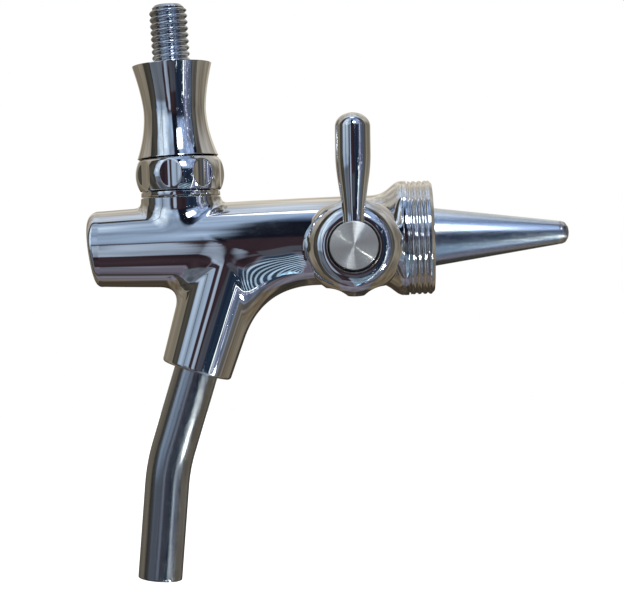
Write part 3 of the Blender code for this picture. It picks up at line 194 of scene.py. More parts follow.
class LeverSizes(bpy.types.PropertyGroup):
    """Hourglass collar and threaded stud, heights above the ball's centre."""

    lean: angle("Lever lean", 1.75, "How far the lever leans forwards at rest")
    collar_bottom: length("Collar bottom", 11.45, "Height of the collar's foot")
    collar_top: length("Collar top", 34.7, "Height of the collar's top face")
    bottom_radius: length("Bottom radius", 10.15, "Radius of the collar's foot")
    top_radius: length("Top radius", 10.0, "Radius of the collar's top")
    waist_radius: length("Waist radius", 7.8, "Radius of the collar's waist")
    waist_height: length("Waist height", 23.0, "Height of the collar's waist")
    lower_power: number("Lower flare power", 1.9, "Curve of the foot's flare")
    upper_power: number("Upper flare power", 1.55, "Curve of the top's flare")
    rim_width: length("Rim width", 0.25, "Width of the foot's rim")
    collar_edge: length("Collar edge", 0.3, "Rounding of the collar's edges")
    stud_clearance: length("Stud clearance", 0.15, "Clearance of the stud in the collar")
    stud_gap: length("Stud gap", 0.2, "Gap between the collar's hollow and the thicker stud")
    stud_radius: length("Stud radius", 4.7625, "Radius over the stud's thread")
    stud_top: length("Stud top", 49.7, "Height of the stud's end")
    stud_pitch: length("Stud pitch", 1.5875, "Distance from crest to crest")
    stud_depth: length("Stud thread depth", 0.68, "Depth of the stud's thread")
    stud_chamfer: length("Stud chamfer", 1.5, "Chamfer of the stud's end")
    stud_edge: length("Stud edge", 0.2, "Rounding of the spindle's edges")
    stud_plain: length("Stud plain length", 0.5, "Plain length of the stud below its thread")
    stud_lead: length("Stud thread lead", 1.0, "Length over which the stud's thread fades in")
    stud_margin: length("Stud margin", 0.3, "Coarsely divided length below the stud's thread")
    top_margin: length("Top margin", 0.1, "Finely divided length above the stud's end")
    spacing: length("Spacing", 0.07, "Spacing of the points along the stud's thread")
    ball_radius: length("Ball radius", 5.55, "Radius of the ball that the lever tilts on")
    neck_radius: length("Neck radius", 3.3, "Radius of the spindle between ball and stud")
    rod_radius: length("Rod radius", 1.7, "Radius of the rod below the ball")
    tip_radius: length("Tip radius", 2.0, "Radius of the rod's round tip")


class NutSizes(bpy.types.PropertyGroup):
    """Bonnet nut on the neck and flow nut on the side boss."""

    bonnet_bottom: length("Bonnet bottom", 13.85, "Height of the bonnet nut's lower end above the barrel")
    bonnet_top: length("Bonnet top", 22.05, "Height of the bonnet nut's dome")
    bonnet_radius: length("Bonnet radius", 11.1, "Radius of the bonnet nut at its widest")
    bonnet_end: length("Bonnet end radius", 10.0, "Radius of the bonnet nut at its ends")
    bonnet_turn: angle("Bonnet turn", -7.0, "Where the bonnet nut's first scallop lies")
    bonnet_thread: length("Bonnet thread", 9.1, "Radius of the bonnet nut's thread")
    bonnet_hole: length("Bonnet hole", 8.0, "Radius of the hole in the bonnet nut's lip")
    bonnet_lip: length("Bonnet lip", 0.75, "Thickness of the bonnet nut's lip")
    bonnet_chamfer: length("Bonnet chamfer", 0.25, "Chamfer of the bonnet nut's lower end")
    bonnet_edge: length("Bonnet edge", 0.12, "Rounding of the bonnet nut's edges")
    bonnet_spacing: length("Bonnet spacing", 0.12, "Spacing of the points on the bonnet nut's side")
    dome_clearance: length("Dome clearance", 0.3, "Clearance of the bonnet nut's dome in the collar's foot")
    trim: length("Trim", 0.1, "Room left between the bonnet nut's side and its dome")
    flow_back: length("Flow nut back", 14.1, "Distance of the flow nut's back from the barrel's axis")
    flow_front: length("Flow nut front", 23.3, "Distance of the flow nut's shoulder from the barrel's axis")
    flow_radius: length("Flow nut radius", 12.1, "Radius of the flow nut at its widest")
    flow_end: length("Flow nut end radius", 10.2, "Radius of the flow nut at its ends")
    flow_turn: angle("Flow nut turn", -22.0, "Where the flow nut's first scallop lies")
    dome_radius: length("Dome radius", 10.2, "Radius of the flow nut's dome at its foot")
    dome_power: number("Dome power", 2.2, "Curve of the flow nut's dome")
    dome_top: length("Dome top", 25.3, "Distance of the dome's rim from the barrel's axis")
    recess_radius: length("Recess radius", 6.25, "Radius of the recess round the spindle's head")
    recess_depth: length("Recess depth", 1.3, "Depth of the recess round the spindle's head")
    recess_rim: length("Recess rim", 0.35, "Width of the recess's flat rim")
    flow_thread: length("Flow nut thread", 9.55, "Radius of the flow nut's thread")
    flow_thread_depth: length("Flow nut thread depth", 6.2, "Length of the flow nut's thread")
    journal_hole: length("Journal hole", 3.7, "Radius of the flow nut's hole for the journal")
    flow_edge: length("Flow nut edge", 0.25, "Rounding of the flow nut's edges")
    flow_spacing: length("Flow nut spacing", 0.14, "Spacing of the points on the flow nut's side")
    scallop_count: IntProperty(name="Scallops", description="Number of finger scallops", default=8)
    scallop_depth: length("Scallop depth", 0.85, "Depth of a finger scallop")
    scallop_radius: length("Scallop radius", 7.5, "Radius of the cutter of a finger scallop")
    scallop_edge: length("Scallop edge", 0.24, "Rounding of a scallop's rim")


class FlowSizes(bpy.types.PropertyGroup):
    """Head and arm of the side lever, distances outwards from the barrel's axis."""

    lean: angle("Arm lean", 1.35, "How far the arm leans rearwards at rest")
    head_radius: length("Head radius", 5.65, "Radius of the spindle's head")
    head_back: length("Head back", 25.5, "Distance of the head's back")
    head_face: length("Head face", 33.0, "Distance of the head's face")
    head_edge: length("Head edge", 0.35, "Rounding of the head's rim")
    head_dish: length("Head cone", 0.2, "How far the face rises to its centre")
    journal_radius: length("Journal radius", 3.5, "Radius of the spindle's journal")
    journal_end: length("Journal end", 6.4, "Distance of the journal's inner end")
    groove_radius: length("Groove radius", 1.9, "Radius of the floor of the journal's seal grooves")
    inner_groove: length("Inner groove", 9.6, "Distance of the inner seal groove")
    outer_groove: length("Outer groove", 13.2, "Distance of the outer seal groove")
    groove_width: length("Groove width", 1.8, "Width of the seal grooves")
    collar_back: length("Collar back", 16.3, "Distance of the trapped collar's back")
    collar_front: length("Collar front", 18.3, "Distance of the trapped collar's front")
    collar_radius: length("Collar radius", 6.0, "Radius of the trapped collar")
    pin_radius: length("Pin radius", 1.2, "Radius of the eccentric pin")
    pin_end: length("Pin end", 0.2, "Distance of the eccentric pin's end")
    pin_rise: length("Pin rise", 1.8, "How far the pin stands off the spindle's axis")
    pin_root: length("Pin root", 0.5, "How far the pin reaches into the journal")
    pin_edge: length("Pin edge", 0.2, "Rounding of the pin's end")
    arm_root: length("Arm root radius", 2.5, "Radius of the arm at the head")
    arm_tip: length("Arm tip radius", 4.15, "Radius of the arm's bulb")
    arm_length: length("Arm length", 31.1, "From the head's axis to the arm's tip")
    arm_crown: length("Arm crown", 3.3, "Height of the arm's rounded end")
    arm_sink: length("Arm sink", 0.6, "How far the arm reaches into the head")
    bulb_share: number("Bulb share", 0.72, "Where the bulb is full")
    ring_radius: length("Ring radius", 6.05, "Outer radius of the black dust ring")
    ring_top: length("Ring top", 25.2, "Distance of the dust ring's face")
    ring_hole: length("Ring hole", 3.7, "Radius of the dust ring's hole")
    ring_height: length("Ring height", 0.9, "Thickness of the dust ring")
    ring_edge: length("Ring edge", 0.25, "Rounding of the dust ring's edges")


class SpoutSizes(bpy.types.PropertyGroup):
    """Bent drip tube."""

    radius: length("Tube radius", 5.55, "Outer radius of the tube")
    wall: length("Tube wall", 1.0, "Wall of the tube")
    start: length("Tube start", 21.3, "Where the tube begins, down the branch's axis")
    straight_end: length("Straight end", 53.2, "Where the bend begins, down the branch's axis")
    bend_radius: length("Bend radius", 46.0, "Radius of the bend's centre line")
    end_lean: angle("End lean", 6.35, "How far the tube's tail leans forwards")
    tail: length("Tail", 23.7, "Length of the tail below the bend")
    lip: length("Lip", 0.25, "Rounding of the tube's open end")


class ConeSizes(bpy.types.PropertyGroup):
    """Compensator cone and its nose."""

    base_radius: length("Base radius", 7.3, "Radius of the cone at its base")
    end_radius: length("End radius", 2.9, "Radius of the cone at its small end")
    cone_length: length("Cone length", 31.7, "Length of the cone behind the flange")
    skirt: length("Skirt", 2.6, "Length of the cone's skirt inside the mouth")
    bore: length("Bore", 2.3, "Radius of the bore for the stem")
    nose: length("Nose", 2.0, "Length of the stem's rounded nose")
    nose_gap: length("Nose gap", 0.05, "Gap between the cone's end and the nose")
    edge: length("Cone edge", 0.5, "Rounding of the cone's edges")


class Finishes(bpy.types.PropertyGroup):
    """Colours of the faucet's finishes."""

    plating: colour("Plating", (0.80, 0.81, 0.83), "Mirror plating of the castings and nuts")
    plating_edge: colour("Plating edge", (0.98, 0.93, 0.86), "Tint of the plating at a grazing angle")
    brushed: colour("Brushed steel", (0.50, 0.52, 0.56), "Drip tube")
    satin: colour("Satin steel", (0.70, 0.77, 0.86), "Compensator cone")
    turned: colour("Turned steel", (0.74, 0.74, 0.72), "Side spindle and its head")
    machined: colour("Machined steel", (0.60, 0.64, 0.71), "Stud, nuts and washers inside")
    brass: colour("Brass", (0.72, 0.52, 0.25), "Valve shaft")
    nylon: colour("Nylon", (0.80, 0.79, 0.74), "Bushes, washers and the cone's guide")
    rubber: colour("Rubber", (0.012, 0.012, 0.013), "Seals and the dust ring")


class StageSettings(bpy.types.PropertyGroup):
    """Camera, floor and the glowing tent of cards: painted light and shade that shows in the plating as
    reflections.
    """

    camera_place: FloatVectorProperty(
        name="Camera",
        description="Place of the camera",
        default=(-0.01949, -0.435, -0.00729),
        unit="LENGTH",
    )
    camera_turn: FloatVectorProperty(
        name="Camera turn",
        description="Turn of the camera",
        default=(math.radians(88.995), math.radians(2.1), math.radians(1.455)),
        subtype="EULER",
    )
    lens: number("Lens", 100.0, "Focal length in millimetres")
    floor_height: length("Floor", -1000.0, "Height of the floor")
    floor_half: length("Floor half width", 12000.0, "Half the width of the floor")
    tent_radius: length("Tent radius", 800.0, "Radius of the tent")
    room_shade: colour("Room shade", (0.008, 0.010, 0.018), "Where the tent has no card")
    slat_tone: colour("Slats", (0.44, 0.60, 0.74), "Slats of the blind below the barrel")
    slat_slant: number("Slat slant", 0.3, "Rise of the slats across the blind")
    slat_rate: number("Slat rate", 1.25, "Radians of slat in a degree of height")


SIZE_GROUPS = {
    "faucet_casting": CastingSizes,
    "faucet_flange": FlangeSizes,
    "faucet_ring": NeckRingSizes,
    "faucet_lever": LeverSizes,
    "faucet_nuts": NutSizes,
    "faucet_flow": FlowSizes,
    "faucet_spout": SpoutSizes,
    "faucet_cone": ConeSizes,
    "faucet_finishes": Finishes,
    "faucet_stage": StageSettings,
}


# Node trees
class Wiring:
    """Adds nodes to a material's or a geometry's tree and joins them."""

    def __init__(self, tree):
        self.tree = tree

    def feed(self, socket, value):
        if isinstance(value, bpy.types.NodeSocket):
            self.tree.links.new(value, socket)
        elif value is not None:
            socket.default_value = value

    def add(self, kind, *values, **settings):
        """A node with its first inputs fed in order, and its settings; returns the node."""
        node = self.tree.nodes.new(kind)
        for name, value in settings.items():
            setattr(node, name, value)
        for socket, value in zip(node.inputs, values):
            self.feed(socket, value)
        return node

    def math(self, operation, *values):
        return self.add("ShaderNodeMath", *values, operation=operation).outputs[0]

    def ramp(self, value, low, high, start, end, smooth=False):
        """value mapped from low..high to start..end, held at both ends."""
        kind = "SMOOTHSTEP" if smooth else "LINEAR"
        node = self.add("ShaderNodeMapRange", value, low, high, start, end, interpolation_type=kind)
        return node.outputs[0]

    def blend(self, share, first, second):
        node = self.add("ShaderNodeMix", data_type="RGBA")
        self.feed(node.inputs["Factor"], share)
        self.feed(node.inputs[6], first)
        self.feed(node.inputs[7], second)
        return node.outputs[2]


def new_material(name):
    made = bpy.data.materials.new(name)
    made.use_nodes = True
    wiring = Wiring(made.node_tree)
    shader = made.node_tree.nodes["Principled BSDF"]
    return made, wiring, shader


def noise(wiring, place, scale, detail=2.0, stretch=None):
    """Noise over a place; stretch scales the place along each axis first."""
    if stretch is not None:
        place = wiring.add("ShaderNodeVectorMath", place, stretch, operation="MULTIPLY").outputs[0]
    node = wiring.add("ShaderNodeTexNoise")
    wiring.feed(node.inputs["Vector"], place)
    node.inputs["Scale"].default_value = scale
    node.inputs["Detail"].default_value = detail
    return node.outputs["Fac"]


def bumped(wiring, shader, *layers):
    """Chain bump layers of (height socket, depth in metres, strength) into the shader's normal."""
    normal = None
    for height, depth, strength in layers:
        node = wiring.add("ShaderNodeBump")
        node.inputs["Strength"].default_value = strength
        node.inputs["Distance"].default_value = depth
        wiring.feed(node.inputs["Height"], height)
        wiring.feed(node.inputs["Normal"], normal)
        normal = node.outputs["Normal"]
    wiring.feed(shader.inputs["Normal"], normal)


def object_place(wiring):
    return wiring.add("ShaderNodeTexCoord").outputs["Object"]


def plated_metal(finishes):
    """Mirror plating over polished brass: faint smudges, soft waves and fine wiping marks."""
    made, wiring, shader = new_material("plated_metal")
    place = object_place(wiring)
    smudge = noise(wiring, place, 55.0, 3.0)
    wiping = noise(wiring, place, 420.0, 4.0, (1.0, 1.0, 5.0))
    waves = noise(wiring, place, 75.0, 1.0)
    pits = noise(wiring, place, 1900.0, 2.0)
    worn = wiring.ramp(smudge, 0.45, 0.72, 0.0, 1.0, smooth=True)
    base = wiring.blend(worn, (*finishes.plating, 1.0), tuple(0.93 * c for c in finishes.plating) + (1.0,))
    wiring.feed(shader.inputs["Base Color"], base)
    shader.inputs["Metallic"].default_value = 1.0
    shader.inputs["Specular Tint"].default_value = (*finishes.plating_edge, 1.0)
    haze = wiring.math("MULTIPLY", worn, wiring.ramp(wiping, 0.35, 0.7, 0.2, 1.0))
    wiring.feed(shader.inputs["Roughness"], wiring.ramp(haze, 0.0, 1.0, 0.035, 0.13))
    bumped(wiring, shader, (waves, 0.00006, 0.55), (pits, 0.000003, 0.15))
    return made


def brushed_steel(finishes):
    """Drawn tube: fine streaks along its length, worn dull."""
    made, wiring, shader = new_material("brushed_steel")
    along = wiring.add("ShaderNodeUVMap", uv_map="surface").outputs[0]
    streaks = noise(wiring, along, 1.0, 5.0, (260.0, 9.0, 1.0))
    bands = noise(wiring, along, 1.0, 2.0, (24.0, 1.6, 1.0))
    dull = tuple(0.78 * c for c in finishes.brushed) + (1.0,)
    base = wiring.blend(wiring.ramp(streaks, 0.3, 0.7, 0.0, 1.0), (*finishes.brushed, 1.0), dull)
    wiring.feed(shader.inputs["Base Color"], base)
    shader.inputs["Metallic"].default_value = 1.0
    shader.inputs["Anisotropic"].default_value = 0.55
    tangent = wiring.add("ShaderNodeTangent", direction_type="UV_MAP", uv_map="surface")
    wiring.feed(shader.inputs["Tangent"], tangent.outputs[0])
    wiring.feed(shader.inputs["Roughness"], wiring.ramp(bands, 0.3, 0.7, 0.15, 0.23))
    bumped(wiring, shader, (streaks, 0.00001, 0.6))
    return made


def satin_metal(finishes):
    """Blasted and tumbled steel: an even sheen with a fine grain."""
    made, wiring, shader = new_material("satin_metal")
    place = object_place(wiring)
    grain = noise(wiring, place, 2600.0, 2.0)
    clouds = noise(wiring, place, 130.0, 3.0)
    pale = tuple(min(1.0, 1.14 * c) for c in finishes.satin) + (1.0,)
    base = wiring.blend(wiring.ramp(grain, 0.35, 0.65, 0.0, 1.0), (*finishes.satin, 1.0), pale)
    wiring.feed(shader.inputs["Base Color"], base)
    shader.inputs["Metallic"].default_value = 1.0
    wiring.feed(shader.inputs["Roughness"], wiring.ramp(clouds, 0.3, 0.7, 0.21, 0.27))
    bumped(wiring, shader, (grain, 0.000014, 0.5))
    return made


def turned_steel(finishes):
    """Lathe-turned steel with fine rings that follow the surface's own map."""
    made, wiring, shader = new_material("turned_steel")
    along = wiring.add("ShaderNodeUVMap", uv_map="surface").outputs[0]
    rings = noise(wiring, along, 1.0, 4.0, (2.0, 320.0, 1.0))
    dark = tuple(0.82 * c for c in finishes.turned) + (1.0,)
    base = wiring.blend(wiring.ramp(rings, 0.35, 0.65, 0.0, 1.0), (*finishes.turned, 1.0), dark)
    wiring.feed(shader.inputs["Base Color"], base)
    shader.inputs["Metallic"].default_value = 0.88
    shader.inputs["Roughness"].default_value = 0.38
    shader.inputs["Anisotropic"].default_value = 1.0
    shader.inputs["Anisotropic Rotation"].default_value = 0.25
    tangent = wiring.add("ShaderNodeTangent", direction_type="UV_MAP", uv_map="surface")
    wiring.feed(shader.inputs["Tangent"], tangent.outputs[0])
    bumped(wiring, shader, (rings, 0.000006, 0.5))
    return made


def plain_steel(finishes):
    """Machined steel of the inner pieces and the stud."""
    made, wiring, shader = new_material("machined_steel")
    place = object_place(wiring)
    marks = noise(wiring, place, 320.0, 3.0)
    dark = tuple(0.75 * c for c in finishes.machined) + (1.0,)
    base = wiring.blend(wiring.ramp(marks, 0.4, 0.62, 0.0, 1.0), (*finishes.machined, 1.0), dark)
    wiring.feed(shader.inputs["Base Color"], base)
    shader.inputs["Metallic"].default_value = 1.0
    wiring.feed(shader.inputs["Roughness"], wiring.ramp(marks, 0.3, 0.7, 0.10, 0.2))
    bumped(wiring, shader, (marks, 0.000006, 0.2))
    return made


def turned_brass(finishes):
    made, wiring, shader = new_material("turned_brass")
    place = object_place(wiring)
    rings = noise(wiring, place, 1.0, 3.0, (5200.0, 60.0, 60.0))
    dark = tuple(0.75 * c for c in finishes.brass) + (1.0,)
    base = wiring.blend(wiring.ramp(rings, 0.35, 0.65, 0.0, 1.0), (*finishes.brass, 1.0), dark)
    wiring.feed(shader.inputs["Base Color"], base)
    shader.inputs["Metallic"].default_value = 1.0
    wiring.feed(shader.inputs["Roughness"], wiring.ramp(rings, 0.3, 0.7, 0.22, 0.34))
    bumped(wiring, shader, (rings, 0.00001, 0.5))
    return made


def moulded(name, tone, roughness, fleck):
    """Moulded plastic or rubber with a faint mottle and a fine moulded skin."""
    made, wiring, shader = new_material(name)
    place = object_place(wiring)
    mottle = noise(wiring, place, 380.0, 3.0)
    skin = noise(wiring, place, 2400.0, 2.0)
    other = tuple(fleck * c for c in tone) + (1.0,)
    wiring.feed(shader.inputs["Base Color"], wiring.blend(mottle, (*tone, 1.0), other))
    wiring.feed(shader.inputs["Roughness"], wiring.ramp(skin, 0.3, 0.7, roughness, roughness + 0.12))
    bumped(wiring, shader, (skin, 0.00001, 0.4))
    return made


MATERIALS = {}


def finish(name):
    """The finish of that name, made once."""
    if name not in MATERIALS:
        finishes = bpy.context.scene.faucet_finishes
        makers = {
            "plated_metal": lambda: plated_metal(finishes),
            "brushed_steel": lambda: brushed_steel(finishes),
            "satin_metal": lambda: satin_metal(finishes),
            "turned_steel": lambda: turned_steel(finishes),
            "machined_steel": lambda: plain_steel(finishes),
            "turned_brass": lambda: turned_brass(finishes),
            "nylon": lambda: moulded("nylon", finishes.nylon, 0.42, 0.93),
            "rubber": lambda: moulded("rubber", finishes.rubber, 0.5, 1.8),
        }
        MATERIALS[name] = makers[name]()
    return MATERIALS[name]


# Meshes
def softened(profile, setback, closed=False):
    """A profile of (radius, height) points with each corner rounded over the given setback."""
    result = []
    count = len(profile)
    for index, point in enumerate(profile):
        corner = Vector(point)
        if not closed and index in (0, count - 1):
            result.append(corner)
            continue
        back = Vector(profile[index - 1]) - corner
        ahead = Vector(profile[(index + 1) % count]) - corner
        if back.angle(-ahead) < FLAT_TURN:
            result.append(corner)
            continue
        start = corner + back.normalized() * min(setback, 0.45 * back.length)
        end = corner + ahead.normalized() * min(setback, 0.45 * ahead.length)
        for step in range(EDGE_STEPS + 1):
            t = step / EDGE_STEPS
            result.append(start * (1 - t) ** 2 + corner * 2 * t * (1 - t) + end * t ** 2)
    return result


def divided(profile, spacing, low, high):
    """The profile with points no further apart than the spacing where its height is in a range."""
    result = [Vector(profile[0])]
    for start, end in zip(profile, profile[1:]):
        start, end = Vector(start), Vector(end)
        middle = (start.y + end.y) / 2
        steps = math.ceil((end - start).length / spacing) if low < middle < high else 1
        result += [start.lerp(end, (step + 1) / steps) for step in range(steps)]
    return result


def lathe(name, profile, sides=PLAIN_SIDES, closed=False):
    """Turn a profile of (radius, height) points about Z, with a map of turns and lengths."""
    rows = [Vector(point) for point in profile]
    if closed:
        rows.append(rows[0])
    travel = [0.0]
    for before, after in zip(rows, rows[1:]):
        travel.append(travel[-1] + (after - before).length)
    points, rings = [], []
    for row, (radius, height) in enumerate(rows):
        if closed and row == len(rows) - 1:
            rings.append(rings[0])
            continue
        first = len(points)
        if radius < 1e-7:
            points.append((0.0, 0.0, height))
            rings.append([first] * sides)
            continue
        for side in range(sides):
            turn = math.tau * side / sides
            points.append((radius * math.cos(turn), radius * math.sin(turn), height))
        rings.append(list(range(first, first + sides)))
    faces, corners = [], []
    for row in range(len(rows) - 1):
        low, high = rings[row], rings[row + 1]
        for side in range(sides):
            after = (side + 1) % sides
            face = [low[side], low[after], high[after], high[side]]
            places = [(side, row), (side + 1, row), (side + 1, row + 1), (side, row + 1)]
            kept = [i for i in range(4) if face[i] != face[i - 1]]
            faces.append([face[i] for i in kept])
            corners += [(places[i][0] / sides, travel[places[i][1]] / travel[-1]) for i in kept]
    return mesh_piece(name, points, faces, corners)


def mesh_piece(name, points, faces, corners=None, normals=None):
    mesh = bpy.data.meshes.new(name)
    mesh.from_pydata(points, [], faces)
    mesh.shade_smooth()
    if corners is not None:
        layer = mesh.uv_layers.new(name="surface")
        layer.uv.foreach_set("vector", np.array(corners, np.float32).ravel())
    if normals is None:
        mesh.set_sharp_from_angle(angle=SHARP_ANGLE)
    else:
        mesh.normals_split_custom_set_from_vertices(normals)
    made = bpy.data.objects.new(name, mesh)
    bpy.context.scene.collection.objects.link(made)
    return made


def settle(piece, place, material, body, slot, *nodes):
    """Put a piece in its place in the faucet, dress it, and hand it to its body."""
    piece.data.transform(place)
    if place.determinant() < 0:
        piece.data.flip_normals()
    piece.data.materials.clear()
    piece.data.materials.append(finish(material))
    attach(piece, body)
    if nodes:
        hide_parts(*nodes)
    return piece


def baked(piece):
    """The piece with its modifiers turned into plain mesh."""
    graph = bpy.context.evaluated_depsgraph_get()
    mesh = bpy.data.meshes.new_from_object(piece.evaluated_get(graph))
    piece.modifiers.clear()
    old = piece.data
    piece.data = mesh
    bpy.data.meshes.remove(old)
    mesh.name = piece.name
    return piece


def shaped(piece, tree, **values):
    """Run a geometry tree on a piece with its named inputs set, and keep the result."""
    modifier = piece.modifiers.new(tree.name, "NODES")
    modifier.node_group = tree
    for item in tree.interface.items_tree:
        key = item.name.lower().replace(" ", "_")
        if item.in_out == "INPUT" and key in values:
            modifier[item.identifier] = values[key]
    return baked(piece)


def geometry_tree(name, lengths, counts=()):
    """An empty geometry tree with named inputs; returns its wiring and its input node."""
    tree = bpy.data.node_groups.new(name, "GeometryNodeTree")
    tree.interface.new_socket("Geometry", in_out="INPUT", socket_type="NodeSocketGeometry")
    for label in lengths:
        tree.interface.new_socket(label, in_out="INPUT", socket_type="NodeSocketFloat")
    for label in counts:
        tree.interface.new_socket(label, in_out="INPUT", socket_type="NodeSocketInt")
    tree.interface.new_socket("Material", in_out="INPUT", socket_type="NodeSocketMaterial")
    tree.interface.new_socket("Geometry", in_out="OUTPUT", socket_type="NodeSocketGeometry")
    wiring = Wiring(tree)
    return tree, wiring, wiring.add("NodeGroupInput").outputs


def polar(wiring):
    """The place's parts, with height last, and the radius and angle of the points of a turned piece."""
    place = wiring.add("GeometryNodeInputPosition").outputs[0]
    parts = wiring.add("ShaderNodeSeparateXYZ", place).outputs
    across = wiring.math("ADD", wiring.math("POWER", parts[0], 2.0), wiring.math("POWER", parts[1], 2.0))
    radius = wiring.math("MAXIMUM", wiring.math("SQRT", across), 1e-7)
    return parts, radius, wiring.math("ARCTAN2", parts[1], parts[0])


def with_radius(wiring, inputs, parts, old, new, chosen):
    """Move the points in or out to their new radius and finish the tree."""
    share = wiring.math("DIVIDE", new, old)
    across, beside = (wiring.math("MULTIPLY", part, share) for part in parts[:2])
    place = wiring.add("ShaderNodeCombineXYZ", across, beside, parts[2]).outputs[0]
    moved = wiring.add("GeometryNodeSetPosition", inputs["Geometry"], chosen, place).outputs[0]
    real = wiring.add("GeometryNodeRealizeInstances", moved).outputs[0]
    dressed = wiring.add("GeometryNodeSetMaterial", real, True, inputs["Material"]).outputs[0]
    wiring.add("NodeGroupOutput", dressed)


def thread_tree():
    """Cuts a thread into the outer wall of a turned piece between two heights."""
    names = ("Start", "End", "Pitch", "Depth", "Lead", "Least Radius")
    tree, wiring, inputs = geometry_tree("cut_thread", names)
    parts, radius, turn = polar(wiring)
    rise = wiring.math("DIVIDE", wiring.math("SUBTRACT", parts[2], inputs["Start"]), inputs["Pitch"])
    phase = wiring.math("FRACT", wiring.math("SUBTRACT", rise, wiring.math("DIVIDE", turn, math.tau)))
    away = wiring.math("ABSOLUTE", wiring.math("SUBTRACT", wiring.math("MULTIPLY", phase, 2.0), 1.0))
    hollow = wiring.math("POWER", away, 1.7)
    enter = wiring.math("SUBTRACT", parts[2], inputs["Start"])
    leave = wiring.math("SUBTRACT", inputs["End"], parts[2])
    nearest = wiring.math("DIVIDE", wiring.math("MINIMUM", enter, leave), inputs["Lead"])
    fade = wiring.ramp(nearest, 0.0, 1.0, 0.0, 1.0, smooth=True)
    cut = wiring.math("MULTIPLY", wiring.math("MULTIPLY", hollow, fade), inputs["Depth"])
    chosen = wiring.math("GREATER_THAN", radius, inputs["Least Radius"])
    with_radius(wiring, inputs, parts, radius, wiring.math("SUBTRACT", radius, cut), chosen)
    return tree


def scallop_tree():
    """Cuts round finger scallops with softened rims into the crown of a turned nut."""
    names = ("Equator", "Depth", "Cutter Radius", "Edge", "Turn")
    tree, wiring, inputs = geometry_tree("cut_scallops", names, ("Count",))
    parts, radius, turn = polar(wiring)
    step = wiring.math("DIVIDE", math.tau, inputs["Count"])
    offset = wiring.math("SUBTRACT", turn, inputs["Turn"])
    nearest = wiring.math("ROUND", wiring.math("DIVIDE", offset, step))
    local = wiring.math("SUBTRACT", offset, wiring.math("MULTIPLY", nearest, step))
    floor = wiring.math("SUBTRACT", inputs["Equator"], inputs["Depth"])
    axis = wiring.math("ADD", floor, inputs["Cutter Radius"])
    beside = wiring.math("MULTIPLY", axis, wiring.math("SINE", local))
    ahead = wiring.math("MULTIPLY", axis, wiring.math("COSINE", local))
    reach = wiring.math("POWER", inputs["Cutter Radius"], 2.0)
    room = wiring.math("SUBTRACT", reach, wiring.math("POWER", beside, 2.0))
    wall = wiring.math("SUBTRACT", ahead, wiring.math("SQRT", wiring.math("MAXIMUM", room, 0.0)))
    soft = wiring.math("SMOOTH_MIN", radius, wall, inputs["Edge"])
    least = wiring.math("SUBTRACT", inputs["Equator"], wiring.math("MULTIPLY", inputs["Depth"], 3.0))
    chosen = wiring.math("GREATER_THAN", radius, least)
    with_radius(wiring, inputs, parts, radius, soft, chosen)
    return tree


# The casting as one smooth surface
def smooth_union(first, second, reach):
    """Least of two distances, with a fillet of the given reach where they meet."""
    share = np.maximum(reach - np.abs(first - second), 0.0) / reach
    return np.minimum(first, second) - share ** 2 * reach / 4


def barrel_radius(sizes, x):
    """The barrel's gentle curve through its three radii."""
    front_x = -sizes.barrel_length + sizes.front_round
    to_front = sizes.middle_x - front_x
    to_rear = sizes.rear_x - sizes.middle_x
    front_slope = (sizes.middle_radius - sizes.front_radius) / to_front
    rear_slope = (sizes.rear_radius - sizes.middle_radius) / to_rear
    bend = (rear_slope - front_slope) / (to_front + to_rear)
    held = np.clip(x, front_x, sizes.rear_x)
    behind = held - front_x
    return sizes.front_radius + front_slope * behind + bend * behind * (held - sizes.middle_x)


def flare_radius(sizes, x):
    """The flare's cone and its rounded shoulder up to the flange's land."""
    slope = math.tan(sizes.flare_angle)
    shoulder = sizes.flare_end - sizes.flare_shoulder
    along = np.clip((x - shoulder) / sizes.flare_shoulder, 0.0, 1.0)
    rise = slope * sizes.flare_shoulder * (along - along ** 2 / 2 - 0.5)
    return sizes.flange_radius + rise + slope * np.minimum(x - shoulder, 0.0)


def rounded_corner(side, top, edge):
    """Distance from the corner of two walls with a rounded edge."""
    both = np.maximum(side, top)
    outside = np.hypot(np.maximum(side + edge, 0.0), np.maximum(top + edge, 0.0)) - edge
    return np.where((side > -edge) & (top > -edge), outside, both)


def barrel_field(sizes, x, y, z):
    """Roughly the distance from the barrel's surface, with its slanted front end and its flare."""
    across = np.hypot(y, z)
    side = across - barrel_radius(sizes, x)
    flare = (across - flare_radius(sizes, x)) * math.cos(sizes.flare_angle)
    side = smooth_union(side, flare, sizes.flare_blend)
    up = np.maximum(z / np.maximum(across, 1e-6), 0.0)
    edge = sizes.front_edge + (sizes.front_top_edge - sizes.front_edge) * up ** 2
    crown = sizes.front_crown * (across / sizes.front_radius) ** 2
    face = crown - sizes.barrel_length - math.tan(sizes.front_slant) * z
    return rounded_corner(side, (face - x) * math.cos(sizes.front_slant), edge)


def boss_field(frame_matrix, points, root_radius, end_radius, height, edge):
    """Distance from a tapered boss with a rounded outer edge, and its direction along the barrel."""
    inverse = np.array(frame_matrix.inverted())
    x, y, z = (sum(inverse[row, k] * points[k] for k in range(3)) + inverse[row, 3] for row in range(3))
    across = np.hypot(x, y)
    slope = (end_radius - root_radius) / height
    side = (across - (root_radius + slope * z)) / math.hypot(1.0, slope)
    return rounded_corner(side, np.maximum(z - height, -z), edge), x / np.maximum(across, 1e-6)


